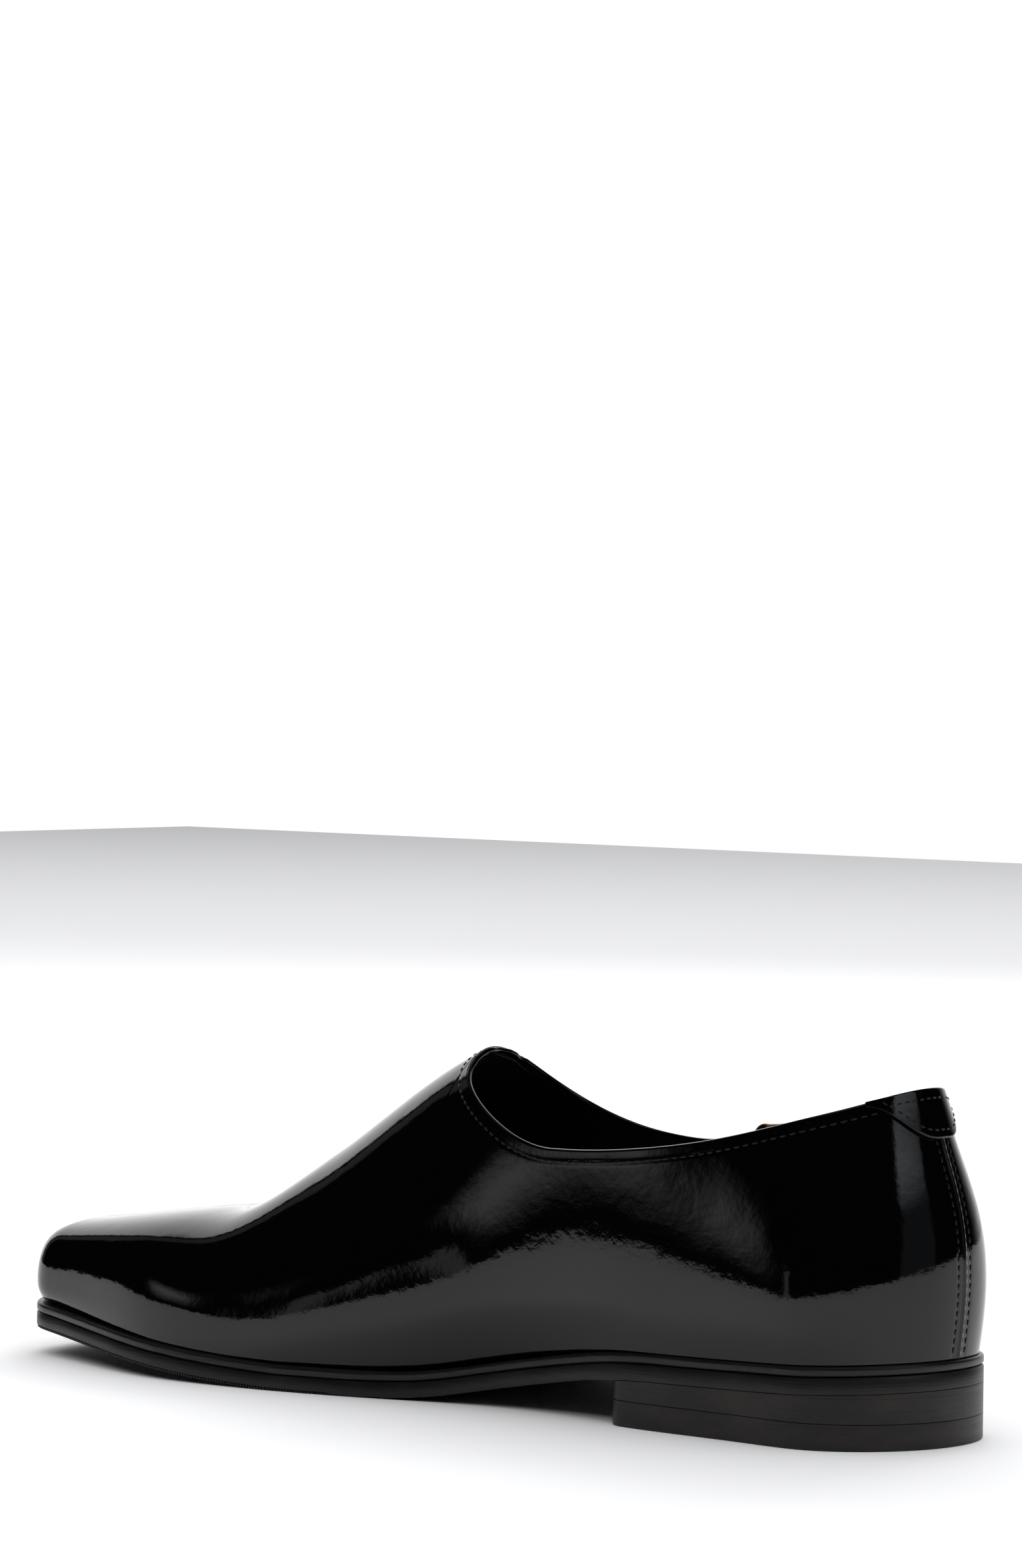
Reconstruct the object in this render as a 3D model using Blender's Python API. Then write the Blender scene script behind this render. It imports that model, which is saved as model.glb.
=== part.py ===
"""Right patent dress shoe: a slip-on with a strap and buckle over its outer side.

Metres, +Z up. The toe points to -X, the heel to +X and the shoe's inner (medial) side to -Y.
The floor is z = 0. A share of the length runs from 0 at the sole's heel end to 1 at its toe end.
"""
import bpy
import bmesh
import numpy as np

# Sole and heel
SOLE_LENGTH = 0.302
BALL_WIDTH = 0.106
HEEL_HEIGHT = 0.0150
TOE_SPRING = 0.0082
BREAST_DISTANCE = 0.089  # from the heel's back to its straight front
BREAST_CORNER = 0.006
TOP_LIFT_THICKNESS = 0.0068
OUTSOLE_THICKNESS = 0.0043
OUTSOLE_EDGE_ROUND = 0.0010
WELT_THICKNESS = 0.0025
WELT_WIDTH = 0.012
WELT_LEDGE_HEEL = 0.0010  # how far the welt shows outside the upper
WELT_LEDGE_FOREPART = 0.0022
INSOLE_THICKNESS = 0.0030

# Upper: heights above the welt
INSTEP_HEIGHT = 0.0800
TOE_TIP_HEIGHT = 0.0120
BACK_HEIGHT = 0.0645
UPPER_WALL = 0.0020
PATCH_THICKNESS = 0.0012
FOOT_BAND = 0.004  # height over which the shell's lower edge is lined up with the floor

# Strap, tab and buckle
STRAP_WIDTH = 0.022
STRAP_THICKNESS = 0.0016
TAB_WIDTH = 0.017
TAB_LENGTH = 0.0132
TAB_THICKNESS = 0.0012
TAB_GAP = 0.0014  # from the bar to the front edge of the tab
BUCKLE_LENGTH = 0.024
BUCKLE_HEIGHT = 0.0316
BUCKLE_RAIL = 0.0030
BUCKLE_GAUGE = 0.0022
BUCKLE_CORNER = 0.0045
BAR_GAUGE = 0.0016
PRONG_GAUGE = 0.0013
PRONG_HOLE = 0.0030
PRONG_REACH = 0.0042  # from the bar to where the prong comes up through the strap
HUMP_REACH = 0.0072  # length over which the strap rises onto the bar and comes down again
CLEARANCE = 0.0003

# Places along the length, as shares of SOLE_LENGTH
THROAT = 0.512
BUCKLE_PLACE = 0.276
HEEL_ROUND = 0.100
TOE_ROUND = 0.055
TOE_TIP_ROUND = 0.055
BACK_REACH = 0.30
TOE_REACH = 0.10
LEDGE_CHANGE = (0.15, 0.45)

# Shape of the round ends: 2 is an ellipse, more is squarer
HEEL_POWER = 2.1
TOE_POWER = 2.7
TIP_POWER = 2.1
RISE_POWER = 2.0

# Mesh fineness
BACK_STATIONS = 26
FRONT_STATIONS = 26
SOLE_STATIONS = 64
UPPER_ROWS = 15
STRAP_ROWS = 8
PATCH_COLUMNS = 23
PATCH_ROWS = 6
CURVE_STEPS = 90


def spline(places, values):
    """A natural cubic spline through the points, as a function."""
    places = np.asarray(places, float)
    values = np.asarray(values, float)
    count = len(places)
    step = np.diff(places)
    matrix = np.eye(count)
    right = np.zeros(count)
    for i in range(1, count - 1):
        matrix[i, i - 1:i + 2] = step[i - 1], 2 * (step[i - 1] + step[i]), step[i]
        slope_after = (values[i + 1] - values[i]) / step[i]
        slope_before = (values[i] - values[i - 1]) / step[i - 1]
        right[i] = 6 * (slope_after - slope_before)
    bend = np.linalg.solve(matrix, right)

    def value_at(place):
        i = np.clip(np.searchsorted(places, place) - 1, 0, count - 2)
        before = place - places[i]
        after = places[i + 1] - place
        curved = (bend[i] * after**3 + bend[i + 1] * before**3) / (6 * step[i])
        from_left = (values[i] / step[i] - bend[i] * step[i] / 6) * after
        from_right = (values[i + 1] / step[i] - bend[i + 1] * step[i] / 6) * before
        return curved + from_left + from_right

    return value_at


def table(names, rows):
    """Named columns of a table of sections, each a smooth function of the first column."""
    columns = np.array(rows, float).T
    return {name: spline(columns[0], column) for name, column in zip(names.split(), columns[1:])}


# Edge of the sole: centre line (outwards is plus) and half width, as shares of BALL_WIDTH / 2
OUTLINE = table("centre half", [
    (0.00, 0.060, 0.570),
    (0.08, 0.000, 0.605),
    (0.16, 0.008, 0.620),
    (0.26, 0.010, 0.630),
    (0.36, 0.060, 0.620),
    (0.46, 0.080, 0.680),
    (0.56, 0.048, 0.830),
    (0.64, 0.028, 0.938),
    (0.71, 0.008, 0.988),
    (0.78, -0.028, 0.970),
    (0.86, -0.062, 0.843),
    (0.93, -0.090, 0.703),
    (1.00, -0.115, 0.580),
])

# Underside of the outsole above the floor: behind the ball a share of HEEL_HEIGHT,
# before it a share of TOE_SPRING
ARCH = table("height", [
    (0.00, 1.00),
    (0.10, 0.92),
    (0.20, 0.86),
    (0.28, 0.80),
    (0.36, 0.570),
    (0.44, 0.275),
    (0.50, 0.065),
    (0.56, 0.00),
])
SPRING = table("height", [
    (0.64, 0.00),
    (0.72, 0.17),
    (0.82, 0.49),
    (0.90, 0.73),
    (1.00, 1.00),
])
BALL_BACK = 0.56
BALL_FRONT = 0.64

# Sections of the upper: heights above the welt as shares of INSTEP_HEIGHT, centres and halves as
# shares of BALL_WIDTH / 2. The bulge is the widest place of a side, the ridge is the top of the
# section, and behind the throat it is the ankle's crown, which the topline cuts away. The pulls
# say how full the side stays on its way up and how flat the top comes down.
SECTIONS = table("bulge_height bulge_centre bulge_half ridge_height ridge_centre side_pull top_pull", [
    (0.00, 0.21, 0.070, 0.560, 1.42, 0.12, 0.22, 0.22),
    (0.08, 0.17, 0.000, 0.605, 1.46, 0.01, 0.24, 0.26),
    (0.18, 0.185, 0.008, 0.635, 1.54, 0.00, 0.32, 0.40),
    (0.28, 0.21, 0.030, 0.665, 1.56, 0.00, 0.40, 0.52),
    (0.36, 0.225, 0.055, 0.685, 1.46, 0.00, 0.44, 0.54),
    (0.44, 0.235, 0.065, 0.725, 1.26, 0.00, 0.45, 0.46),
    (0.50, 0.215, 0.055, 0.780, 1.090, -0.02, 0.45, 0.46),
    (0.53, 0.20, 0.050, 0.812, 1.036, -0.025, 0.455, 0.45),
    (0.56, 0.18, 0.042, 0.840, 0.976, -0.03, 0.46, 0.43),
    (0.62, 0.13, 0.030, 0.898, 0.816, -0.05, 0.50, 0.42),
    (0.68, 0.095, 0.015, 0.935, 0.642, -0.07, 0.57, 0.48),
    (0.74, 0.10, -0.010, 0.950, 0.476, -0.08, 0.68, 0.60),
    (0.80, 0.095, -0.035, 0.914, 0.412, -0.09, 0.80, 0.76),
    (0.87, 0.08, -0.062, 0.803, 0.360, -0.10, 0.86, 0.86),
    (0.94, 0.065, -0.090, 0.684, 0.304, -0.11, 0.88, 0.90),
    (1.00, 0.06, -0.115, 0.580, 0.270, -0.12, 0.88, 0.90),
])
BULGE_LIMIT = 0.60
FOOT_OUT_PULL = 0.60
FOOT_UP_PULL = 0.33
BULGE_DOWN_PULL = 0.40

# Lean of the heel's back against its height above the welt, both as shares of BACK_HEIGHT
BACK_CURVE = table("lean", [
    (0.00, -0.016),
    (0.17, 0.000),
    (0.34, 0.006),
    (0.52, -0.012),
    (0.70, -0.064),
    (0.84, -0.116),
    (1.00, -0.172),
    (1.60, -0.440),
    (2.30, -0.760),
])

# Lean of the toe's front against its height above the welt, both as shares of TOE_TIP_HEIGHT
TOE_CURVE = table("lean", [
    (0.00, 0.10),
    (0.50, 0.00),
    (1.00, 0.07),
    (1.60, 0.24),
    (2.20, 0.45),
])

# Height of the two toplines above the welt, as shares of BACK_HEIGHT, before they rise
INNER_TOPLINE = table("height", [
    (0.00, 1.045),
    (0.03, 1.000),
    (0.08, 0.945),
    (0.14, 0.890),
    (0.20, 0.842),
    (0.28, 0.805),
    (0.33, 0.816),
    (0.37, 0.842),
    (0.41, 0.872),
    (0.45, 0.915),
    (0.52, 1.030),
])
OUTER_TOPLINE = table("height", [
    (0.00, 1.045),
    (0.03, 1.000),
    (0.08, 0.930),
    (0.14, 0.865),
    (0.20, 0.820),
    (0.28, 0.800),
    (0.34, 0.803),
    (0.40, 0.790),
    (0.44, 0.772),
    (0.48, 0.785),
    (0.52, 0.850),
])
INNER_RISE = 0.15
OUTER_RISE = 0.18

# Patch over the back seam: how deep it reaches below the topline, as a share of BACK_HEIGHT,
# from the seam at 0 to its front corner at 1
PATCH_REACH = 0.034
PATCH = table("depth", [
    (0.00, 0.186),
    (0.25, 0.183),
    (0.45, 0.165),
    (0.65, 0.125),
    (0.83, 0.070),
    (1.00, 0.008),
])

# Strap on the outer side: drop of its top edge below the topline and its width,
# as shares of STRAP_WIDTH
STRAP_FRONT = 0.470
STRAP_TIP = 0.168
STRAP = table("drop width", [
    (0.168, 0.80, 0.35),
    (0.176, 0.58, 0.72),
    (0.190, 0.42, 0.94),
    (0.215, 0.26, 0.99),
    (0.262, 0.07, 1.00),
    (0.320, 0.05, 1.04),
    (0.380, 0.05, 1.20),
    (0.430, 0.06, 1.40),
    (0.470, 0.10, 1.55),
])


def x_at(share):
    return SOLE_LENGTH * (0.5 - share)


def share_at(x):
    return 0.5 - x / SOLE_LENGTH


def smooth(place):
    """An even change from 0 to 1 that starts and ends level."""
    place = np.clip(place, 0, 1)
    return place**2 * (3 - 2 * place)


def end_rounding(share):
    """How far the outline has opened at a share of the length: 0 at both ends, 1 between."""
    back = np.clip(1 - share / HEEL_ROUND, 0, 1)
    front = np.clip(1 - (1 - share) / TOE_ROUND, 0, 1)
    heel = (1 - back**HEEL_POWER) ** (1 / HEEL_POWER)
    toe = (1 - front**TOE_POWER) ** (1 / TOE_POWER)
    return heel * toe


def outline_y(share, side):
    half = OUTLINE["half"](share) * end_rounding(share)
    return (OUTLINE["centre"](share) + side * half) * BALL_WIDTH / 2


def underside(share):
    """Height of the outsole's underside, flat on the floor at the ball."""
    arch = ARCH["height"](np.minimum(share, BALL_BACK)) * HEEL_HEIGHT
    spring = SPRING["height"](np.maximum(share, BALL_FRONT)) * TOE_SPRING
    return np.maximum(np.where(share < BALL_BACK, arch, spring), 0)


def outsole_top(share):
    return underside(share) + OUTSOLE_THICKNESS


def welt_top(share):
    return outsole_top(share) + CLEARANCE + WELT_THICKNESS


def feather(share):
    """Height of the upper's lower edge."""
    return welt_top(share) + CLEARANCE


def ledge(share):
    """How far the welt shows outside the upper."""
    start, end = LEDGE_CHANGE
    return WELT_LEDGE_HEEL + (WELT_LEDGE_FOREPART - WELT_LEDGE_HEEL) * smooth((share - start) / (end - start))


def ridge_height(share):
    full = SECTIONS["ridge_height"](share) * INSTEP_HEIGHT
    front = np.clip(1 - (1 - share) / TOE_TIP_ROUND, 0, 1)
    return TOE_TIP_HEIGHT + (full - TOE_TIP_HEIGHT) * (1 - front**TIP_POWER) ** (1 / TIP_POWER)


def bezier(start, start_pull, end_pull, end, t):
    return (start * (1 - t) ** 3 + 3 * start_pull * t * (1 - t) ** 2
            + 3 * end_pull * t**2 * (1 - t) + end * t**3)


def section(share, side):
    """One side of a section, from its lower edge to the ridge: points with x, y and z."""
    half_width = BALL_WIDTH / 2
    opened = end_rounding(share)
    sole_half = OUTLINE["half"](share) * half_width
    foot_z = feather(share)
    foot_y = OUTLINE["centre"](share) * half_width + side * (sole_half - ledge(share)) * opened
    bulge_y = (SECTIONS["bulge_centre"](share) + side * SECTIONS["bulge_half"](share) * opened) * half_width
    top_rise = ridge_height(share)
    bulge_rise = min(SECTIONS["bulge_height"](share) * INSTEP_HEIGHT, top_rise * BULGE_LIMIT)
    bulge_z = foot_z + bulge_rise
    top_y = SECTIONS["ridge_centre"](share) * half_width
    top_z = foot_z + top_rise
    side_pull = SECTIONS["side_pull"](share)
    top_pull = SECTIONS["top_pull"](share)
    t = np.linspace(0, 1, CURVE_STEPS)
    above_foot = foot_z + bulge_rise * FOOT_UP_PULL
    below_bulge = bulge_z - bulge_rise * BULGE_DOWN_PULL
    low_y = bezier(foot_y, foot_y + (bulge_y - foot_y) * FOOT_OUT_PULL, bulge_y, bulge_y, t)
    low_z = bezier(foot_z, above_foot, below_bulge, bulge_z, t)
    high_y = bezier(bulge_y, bulge_y, top_y + (bulge_y - top_y) * top_pull, top_y, t)
    high_z = bezier(bulge_z, bulge_z + (top_z - bulge_z) * side_pull, top_z, top_z, t)
    y = np.concatenate([low_y, high_y[1:]])
    z = np.concatenate([low_z, high_z[1:]])
    rise = z - foot_z
    near_back = smooth(1 - share / BACK_REACH)
    near_toe = np.clip(1 - (1 - share) / TOE_REACH, 0, 1) ** 2
    back_lean = BACK_CURVE["lean"](rise / BACK_HEIGHT) * BACK_HEIGHT * near_back
    toe_lean = TOE_CURVE["lean"](rise / TOE_TIP_HEIGHT) * TOE_TIP_HEIGHT * near_toe
    x = x_at(share) + back_lean + toe_lean
    return np.stack([x, y, z], axis=-1)


def topline(share, side):
    """Height of the topline above the welt: low along the quarter, then up to the ridge."""
    line = INNER_TOPLINE if side < 0 else OUTER_TOPLINE
    reach = INNER_RISE if side < 0 else OUTER_RISE
    low = line["height"](share) * BACK_HEIGHT
    along = np.clip((share - THROAT + reach) / reach, 0, 1)
    rise = 1 - (1 - along**RISE_POWER) ** (1 / RISE_POWER)
    return low + (ridge_height(share) - low) * rise


def between(points, low, high, rows):
    """Points spread evenly along a section between two heights above the welt."""
    rise = points[:, 2] - points[0, 2]
    along = np.concatenate([[0], np.cumsum(np.linalg.norm(np.diff(points, axis=0), axis=1))])
    start = np.interp(low, rise, along)
    end = np.interp(high, rise, along)
    place = np.linspace(start, end, rows)
    return np.stack([np.interp(place, along, points[:, axis]) for axis in range(3)], axis=-1)


def column(share, side, rows):
    """A column of the upper's surface, from the welt to the topline or the ridge."""
    points = section(share, side)
    top = topline(share, side) if share < THROAT else ridge_height(share)
    return between(points, 0, top, rows)


def upper_stations():
    """Places along the length, close together at the heel, behind the throat and at the toe."""
    turn = np.linspace(0, np.pi, BACK_STATIONS)
    back = THROAT * (0.5 - 0.5 * np.cos(turn))
    quarter_turn = np.linspace(0, np.pi / 2, FRONT_STATIONS)
    front = THROAT + (1 - THROAT) * np.sin(quarter_turn)
    return np.concatenate([back, front[1:]])


def sole_stations(last=1.0, count=SOLE_STATIONS):
    turn = np.linspace(0, np.pi, count)
    both_ends = 0.5 - 0.5 * np.cos(turn)
    heel_only = 1 - np.cos(turn / 2)
    return last * (both_ends if last == 1.0 else heel_only)


def material(name, colour, roughness, metallic=0.0, coat=0.0):
    new = bpy.data.materials.new(name)
    new.use_nodes = True
    shader = new.node_tree.nodes["Principled BSDF"]
    shader.inputs["Base Color"].default_value = (*colour, 1)
    shader.inputs["Roughness"].default_value = roughness
    shader.inputs["Metallic"].default_value = metallic
    shader.inputs["Coat Weight"].default_value = coat
    return new


def add_solid(name, mesh_bm, look):
    """One closed solid as its own object, its faces turned outwards."""
    bmesh.ops.remove_doubles(mesh_bm, verts=mesh_bm.verts, dist=1e-6)
    bmesh.ops.recalc_face_normals(mesh_bm, faces=mesh_bm.faces)
    mesh = bpy.data.meshes.new(name)
    mesh_bm.to_mesh(mesh)
    mesh_bm.free()
    mesh.materials.append(look)
    new = bpy.data.objects.new(name, mesh)
    bpy.context.collection.objects.link(new)
    return new


def add_grid(mesh_bm, points, closed=False):
    """Quads over a grid of points, row by row; closed joins the last row to the first."""
    rows = [[mesh_bm.verts.new(point) for point in row] for row in points]
    if closed:
        rows.append(rows[0])
    for low, high in zip(rows, rows[1:]):
        for i in range(len(low) - 1):
            mesh_bm.faces.new((low[i], low[i + 1], high[i + 1], high[i]))
    return rows


def plate(name, stations, edge, low, high, look, edge_round=0.0):
    """A slab inside an outline, between two heights that change along the length."""
    def line(side, inset, height):
        return [(x_at(share), edge(share, side) - side * inset * end_rounding(share), height(share))
                for share in stations]

    layers = [(edge_round, low), (0, high)]
    if edge_round > 0:
        layers.insert(1, (0, lambda share: low(share) + edge_round))
    left = [line(-1, inset, height) for inset, height in layers]
    right = [line(1, inset, height) for inset, height in layers]
    ring = left + right[::-1]
    mesh_bm = bmesh.new()
    add_grid(mesh_bm, ring, closed=True)
    if edge(stations[-1], 1) - edge(stations[-1], -1) > CLEARANCE:
        mesh_bm.faces.new([mesh_bm.verts.new(points[-1]) for points in ring])
    return add_solid(name, mesh_bm, look)


def loop_inside(points, inset):
    """A closed loop in plan moved inwards by a distance, with each point's new x and y."""
    points = np.asarray(points)
    ahead = np.roll(points, -1, axis=0) - np.roll(points, 1, axis=0)
    normal = np.stack([-ahead[:, 1], ahead[:, 0]], axis=-1)
    normal /= np.linalg.norm(normal, axis=1)[:, None]
    return points + normal * inset


def outline_loop(edge, stations):
    """The outline as a closed loop that runs counter-clockwise seen from above."""
    inner = [edge(share, -1) for share in stations[::-1]]
    outer = [edge(share, 1) for share in stations[1:-1]]
    return inner + outer


def sole_point(share, side):
    return x_at(share), outline_y(share, side)


def foot_point(share, side):
    """The upper's lower edge in plan."""
    return tuple(section(share, side)[0, :2])


def grid_normals(grid):
    """Unit normals of a grid of surface points."""
    across = np.gradient(grid, axis=0)
    up = np.gradient(grid, axis=1)
    normal = np.cross(across, up)
    return normal / np.linalg.norm(normal, axis=-1, keepdims=True)


def overlay(name, grid, lift, thickness, look):
    """A sheet that lies on a grid of surface points: lift may differ from point to point."""
    normal = grid_normals(grid)
    centre = np.array([0.0, 0.0, INSTEP_HEIGHT / 2])
    outward = np.sign(np.sum(normal * (grid - centre), axis=-1).mean())
    lift = np.broadcast_to(np.asarray(lift)[..., None], grid.shape)
    near = grid + normal * outward * lift
    far = grid + normal * outward * (lift + thickness)
    mesh_bm = bmesh.new()
    add_grid(mesh_bm, near)
    add_grid(mesh_bm, far)
    for edge in (np.s_[0, :], np.s_[-1, :], np.s_[:, 0], np.s_[:, -1]):
        add_grid(mesh_bm, np.stack([near[edge], far[edge]]))
    return add_solid(name, mesh_bm, look)


def build_sole():
    black_edge = material("sole edge", (0.012, 0.011, 0.011), 0.35)
    stack = material("heel stack", (0.020, 0.015, 0.013), 0.40)
    stations = sole_stations()
    plate("outsole", stations, outline_y, underside, outsole_top, black_edge, OUTSOLE_EDGE_ROUND)
    outline = outline_loop(sole_point, stations)
    add_ring("welt", outline, WELT_WIDTH, lambda share: outsole_top(share) + CLEARANCE, welt_top, black_edge)
    build_heel(stack, black_edge)


def add_ring(name, outer, width, low, high, look):
    """A flat strip of one width inside an outline, between two heights along the length."""
    outer = np.asarray(outer)
    inner = loop_inside(outer, width)
    lines = []
    for loop, height in ((outer, low), (outer, high), (inner, high), (inner, low), (outer, low)):
        z = height(share_at(loop[:, 0]))
        lines.append(np.column_stack([loop, z]))
    mesh_bm = bmesh.new()
    add_grid(mesh_bm, np.stack(lines, axis=1), closed=True)
    return add_solid(name, mesh_bm, look)


def build_heel(stack_look, lift_look):
    """The heel stack and the top lift, with a straight breast and rounded breast corners."""
    breast = BREAST_DISTANCE / SOLE_LENGTH
    corner = BREAST_CORNER / SOLE_LENGTH
    straight = sole_stations(breast - corner, 26)
    turn = np.linspace(0, np.pi / 2, 7)[1:]
    stations = np.concatenate([straight, breast - corner + corner * np.sin(turn)])

    def heel_edge(share, side):
        into_corner = np.clip((share - breast + corner) / corner, 0, 1)
        inset = BREAST_CORNER * (1 - np.sqrt(1 - into_corner**2))
        return outline_y(share, side) - side * inset

    def lift_top(share):
        return TOP_LIFT_THICKNESS + 0 * share

    def stack_low(share):
        return lift_top(share) + CLEARANCE

    def stack_high(share):
        return underside(share) - CLEARANCE

    plate("heel_stack", stations, heel_edge, stack_low, stack_high, stack_look)
    plate("top_lift", stations, heel_edge, lambda share: 0 * share, lift_top, lift_look)


def build_insole():
    lining = material("insole", (0.030, 0.028, 0.028), 0.6)
    stations = sole_stations(count=48)
    loop = loop_inside(outline_loop(foot_point, stations), UPPER_WALL + 3 * CLEARANCE)
    share = share_at(loop[:, 0])
    low = np.column_stack([loop, feather(share)])
    high = low + (0, 0, INSOLE_THICKNESS)
    mesh_bm = bmesh.new()
    add_grid(mesh_bm, np.stack([low, high], axis=1), closed=True)
    bmesh.ops.remove_doubles(mesh_bm, verts=mesh_bm.verts, dist=1e-6)
    half = len(loop) // 2
    add_strip(mesh_bm, low, half)
    add_strip(mesh_bm, high, half)
    return add_solid("insole", mesh_bm, lining)


def add_strip(mesh_bm, loop, half):
    """Fills a loop of points with quads from side to side; the ends of the loop are 0 and half."""
    rung = [(loop[i], loop[-i % len(loop)]) for i in range(half + 1)]
    add_grid(mesh_bm, rung)


def build_upper():
    """The lasted shell: the outer surface, its copy inside, the topline edge and the lower edge."""
    patent = material("patent leather", (0.006, 0.006, 0.007), 0.08, coat=1.0)
    stations = upper_stations()
    around = [column(share, 1, UPPER_ROWS) for share in stations]
    around += [column(share, -1, UPPER_ROWS) for share in stations[-2:0:-1]]
    mesh_bm = bmesh.new()
    add_grid(mesh_bm, around, closed=True)
    bmesh.ops.remove_doubles(mesh_bm, verts=mesh_bm.verts, dist=1e-6)
    bmesh.ops.recalc_face_normals(mesh_bm, faces=mesh_bm.faces)
    mesh_bm.normal_update()
    outwards = sum(face.normal.dot(face.calc_center_median()) * face.calc_area() for face in mesh_bm.faces)
    sign = 1 if outwards > 0 else -1
    outer_faces = list(mesh_bm.faces)
    rim = [edge for edge in mesh_bm.edges if edge.is_boundary]
    low_limit = {vert: feather(share_at(vert.co.x)) + FOOT_BAND for edge in rim for vert in edge.verts}
    inner = {}
    for vert in list(mesh_bm.verts):
        normal = vert.normal * sign
        if vert in low_limit and vert.co.z < low_limit[vert]:
            normal.z = 0
            normal.normalize()
        inner[vert] = mesh_bm.verts.new(vert.co - normal * UPPER_WALL)
    for face in outer_faces:
        mesh_bm.faces.new([inner[vert] for vert in reversed(face.verts)])
    for edge in rim:
        first, second = edge.verts
        mesh_bm.faces.new((first, second, inner[second], inner[first]))
    return add_solid("upper", mesh_bm, patent)


def build_back_patch():
    """The small patch over the top of the back seam."""
    patent = material("patch leather", (0.006, 0.006, 0.007), 0.10, coat=1.0)
    grid = []
    for place in np.linspace(-1, 1, PATCH_COLUMNS):
        side = -1 if place < 0 else 1
        share = PATCH_REACH * (1 - np.sqrt(1 - place**2))
        top = topline(share, side)
        depth = PATCH["depth"](abs(place)) * BACK_HEIGHT
        grid.append(between(section(share, side), top - depth, top, PATCH_ROWS))
    return overlay("back_strap", np.array(grid), CLEARANCE, PATCH_THICKNESS, patent)


def strap_lift(share, points):
    """Distance of the strap's inner face from the quarter: over the straight bar and the tab."""
    centre, along, up, out = buckle_axes()
    behind_bar = (BUCKLE_PLACE - share) * SOLE_LENGTH
    near = np.clip(np.abs(behind_bar) / HUMP_REACH, 0, 1)
    fall = np.maximum((centre - points) @ out, 0)
    over_bar = (BAR_GAUGE + 2 * CLEARANCE + fall) * np.cos(near * np.pi / 2) ** 2
    past_tab = np.clip((behind_bar - TAB_GAP - TAB_LENGTH) / HUMP_REACH, 0, 1)
    over_tab = (TAB_THICKNESS + CLEARANCE) * np.cos(past_tab * np.pi / 2) ** 2 * (behind_bar > 0)
    return CLEARANCE + np.maximum(over_bar, over_tab)


def build_strap():
    """The strap, from its root beside the throat to its rounded tip behind the buckle."""
    leather = material("strap leather", (0.006, 0.006, 0.007), 0.10, coat=1.0)
    hump = HUMP_REACH / SOLE_LENGTH
    tip_end = STRAP_TIP + (BUCKLE_PLACE - STRAP_TIP) / 4
    turn = np.linspace(0, np.pi / 2, 8)
    shares = np.concatenate([
        STRAP_TIP + (tip_end - STRAP_TIP) * (1 - np.cos(turn)),
        np.linspace(tip_end, BUCKLE_PLACE - hump, 9)[1:],
        np.linspace(BUCKLE_PLACE - hump, BUCKLE_PLACE + hump, 17)[1:],
        np.linspace(BUCKLE_PLACE + hump, STRAP_FRONT, 19)[1:],
    ])
    grid = []
    lifts = []
    for share in shares:
        top = topline(share, 1) - STRAP["drop"](share) * STRAP_WIDTH
        width = STRAP["width"](share) * STRAP_WIDTH
        points = between(section(share, 1), top - width, top, STRAP_ROWS)
        grid.append(points)
        lifts.append(strap_lift(share, points))
    strap = overlay("side_strap", np.array(grid), np.array(lifts), STRAP_THICKNESS, leather)
    centre, along, up, out = buckle_axes()
    place = centre + along * PRONG_REACH
    past_both_faces = 2 * STRAP_THICKNESS + BAR_GAUGE
    hole_line = [place - out * past_both_faces, place + out * past_both_faces]
    hole = tube("prong_hole", hole_line, PRONG_HOLE / 2, leather, up)
    cut_with(strap, hole, "DIFFERENCE")
    return strap


def cut_with(solid, tool, operation):
    """Joins or cuts a solid with another object, which then only guides the shape."""
    tool.hide_render = True
    tool.display_type = "WIRE"
    change = solid.modifiers.new(tool.name, "BOOLEAN")
    change.operation = operation
    change.object = tool


def on_quarter(share, height):
    """A point of the upper's outer side at a height above the welt."""
    return between(section(share, 1), height, height, 1)[0]


def strap_middle():
    """Height above the welt of the strap's middle at the buckle."""
    drop = STRAP["drop"](BUCKLE_PLACE) + STRAP["width"](BUCKLE_PLACE) / 2
    return topline(BUCKLE_PLACE, 1) - drop * STRAP_WIDTH


def buckle_axes():
    """The buckle's centre on the quarter, and its directions along, up and out."""
    height = strap_middle()
    step = BUCKLE_LENGTH / SOLE_LENGTH / 4
    centre = on_quarter(BUCKLE_PLACE, height)
    along = on_quarter(BUCKLE_PLACE + step, height) - on_quarter(BUCKLE_PLACE - step, height)
    along /= np.linalg.norm(along)
    up = on_quarter(BUCKLE_PLACE, height + STRAP_WIDTH / 4) - on_quarter(BUCKLE_PLACE, height - STRAP_WIDTH / 4)
    up -= along * np.dot(up, along)
    up /= np.linalg.norm(up)
    out = np.cross(along, up)
    out *= np.sign(out[1])
    return centre, along, up, out


def build_tab():
    """The short tab under the strap, which holds the buckle's bar at its front end."""
    leather = material("tab leather", (0.006, 0.006, 0.007), 0.10, coat=1.0)
    front = BUCKLE_PLACE - (BAR_GAUGE / 2 + TAB_GAP) / SOLE_LENGTH
    shares = np.linspace(front - TAB_LENGTH / SOLE_LENGTH, front, 8)
    middle = strap_middle()
    grid = []
    for share in shares:
        grid.append(between(section(share, 1), middle - TAB_WIDTH / 2, middle + TAB_WIDTH / 2, 6))
    return overlay("buckle_tab", np.array(grid), CLEARANCE, TAB_THICKNESS, leather)


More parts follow.
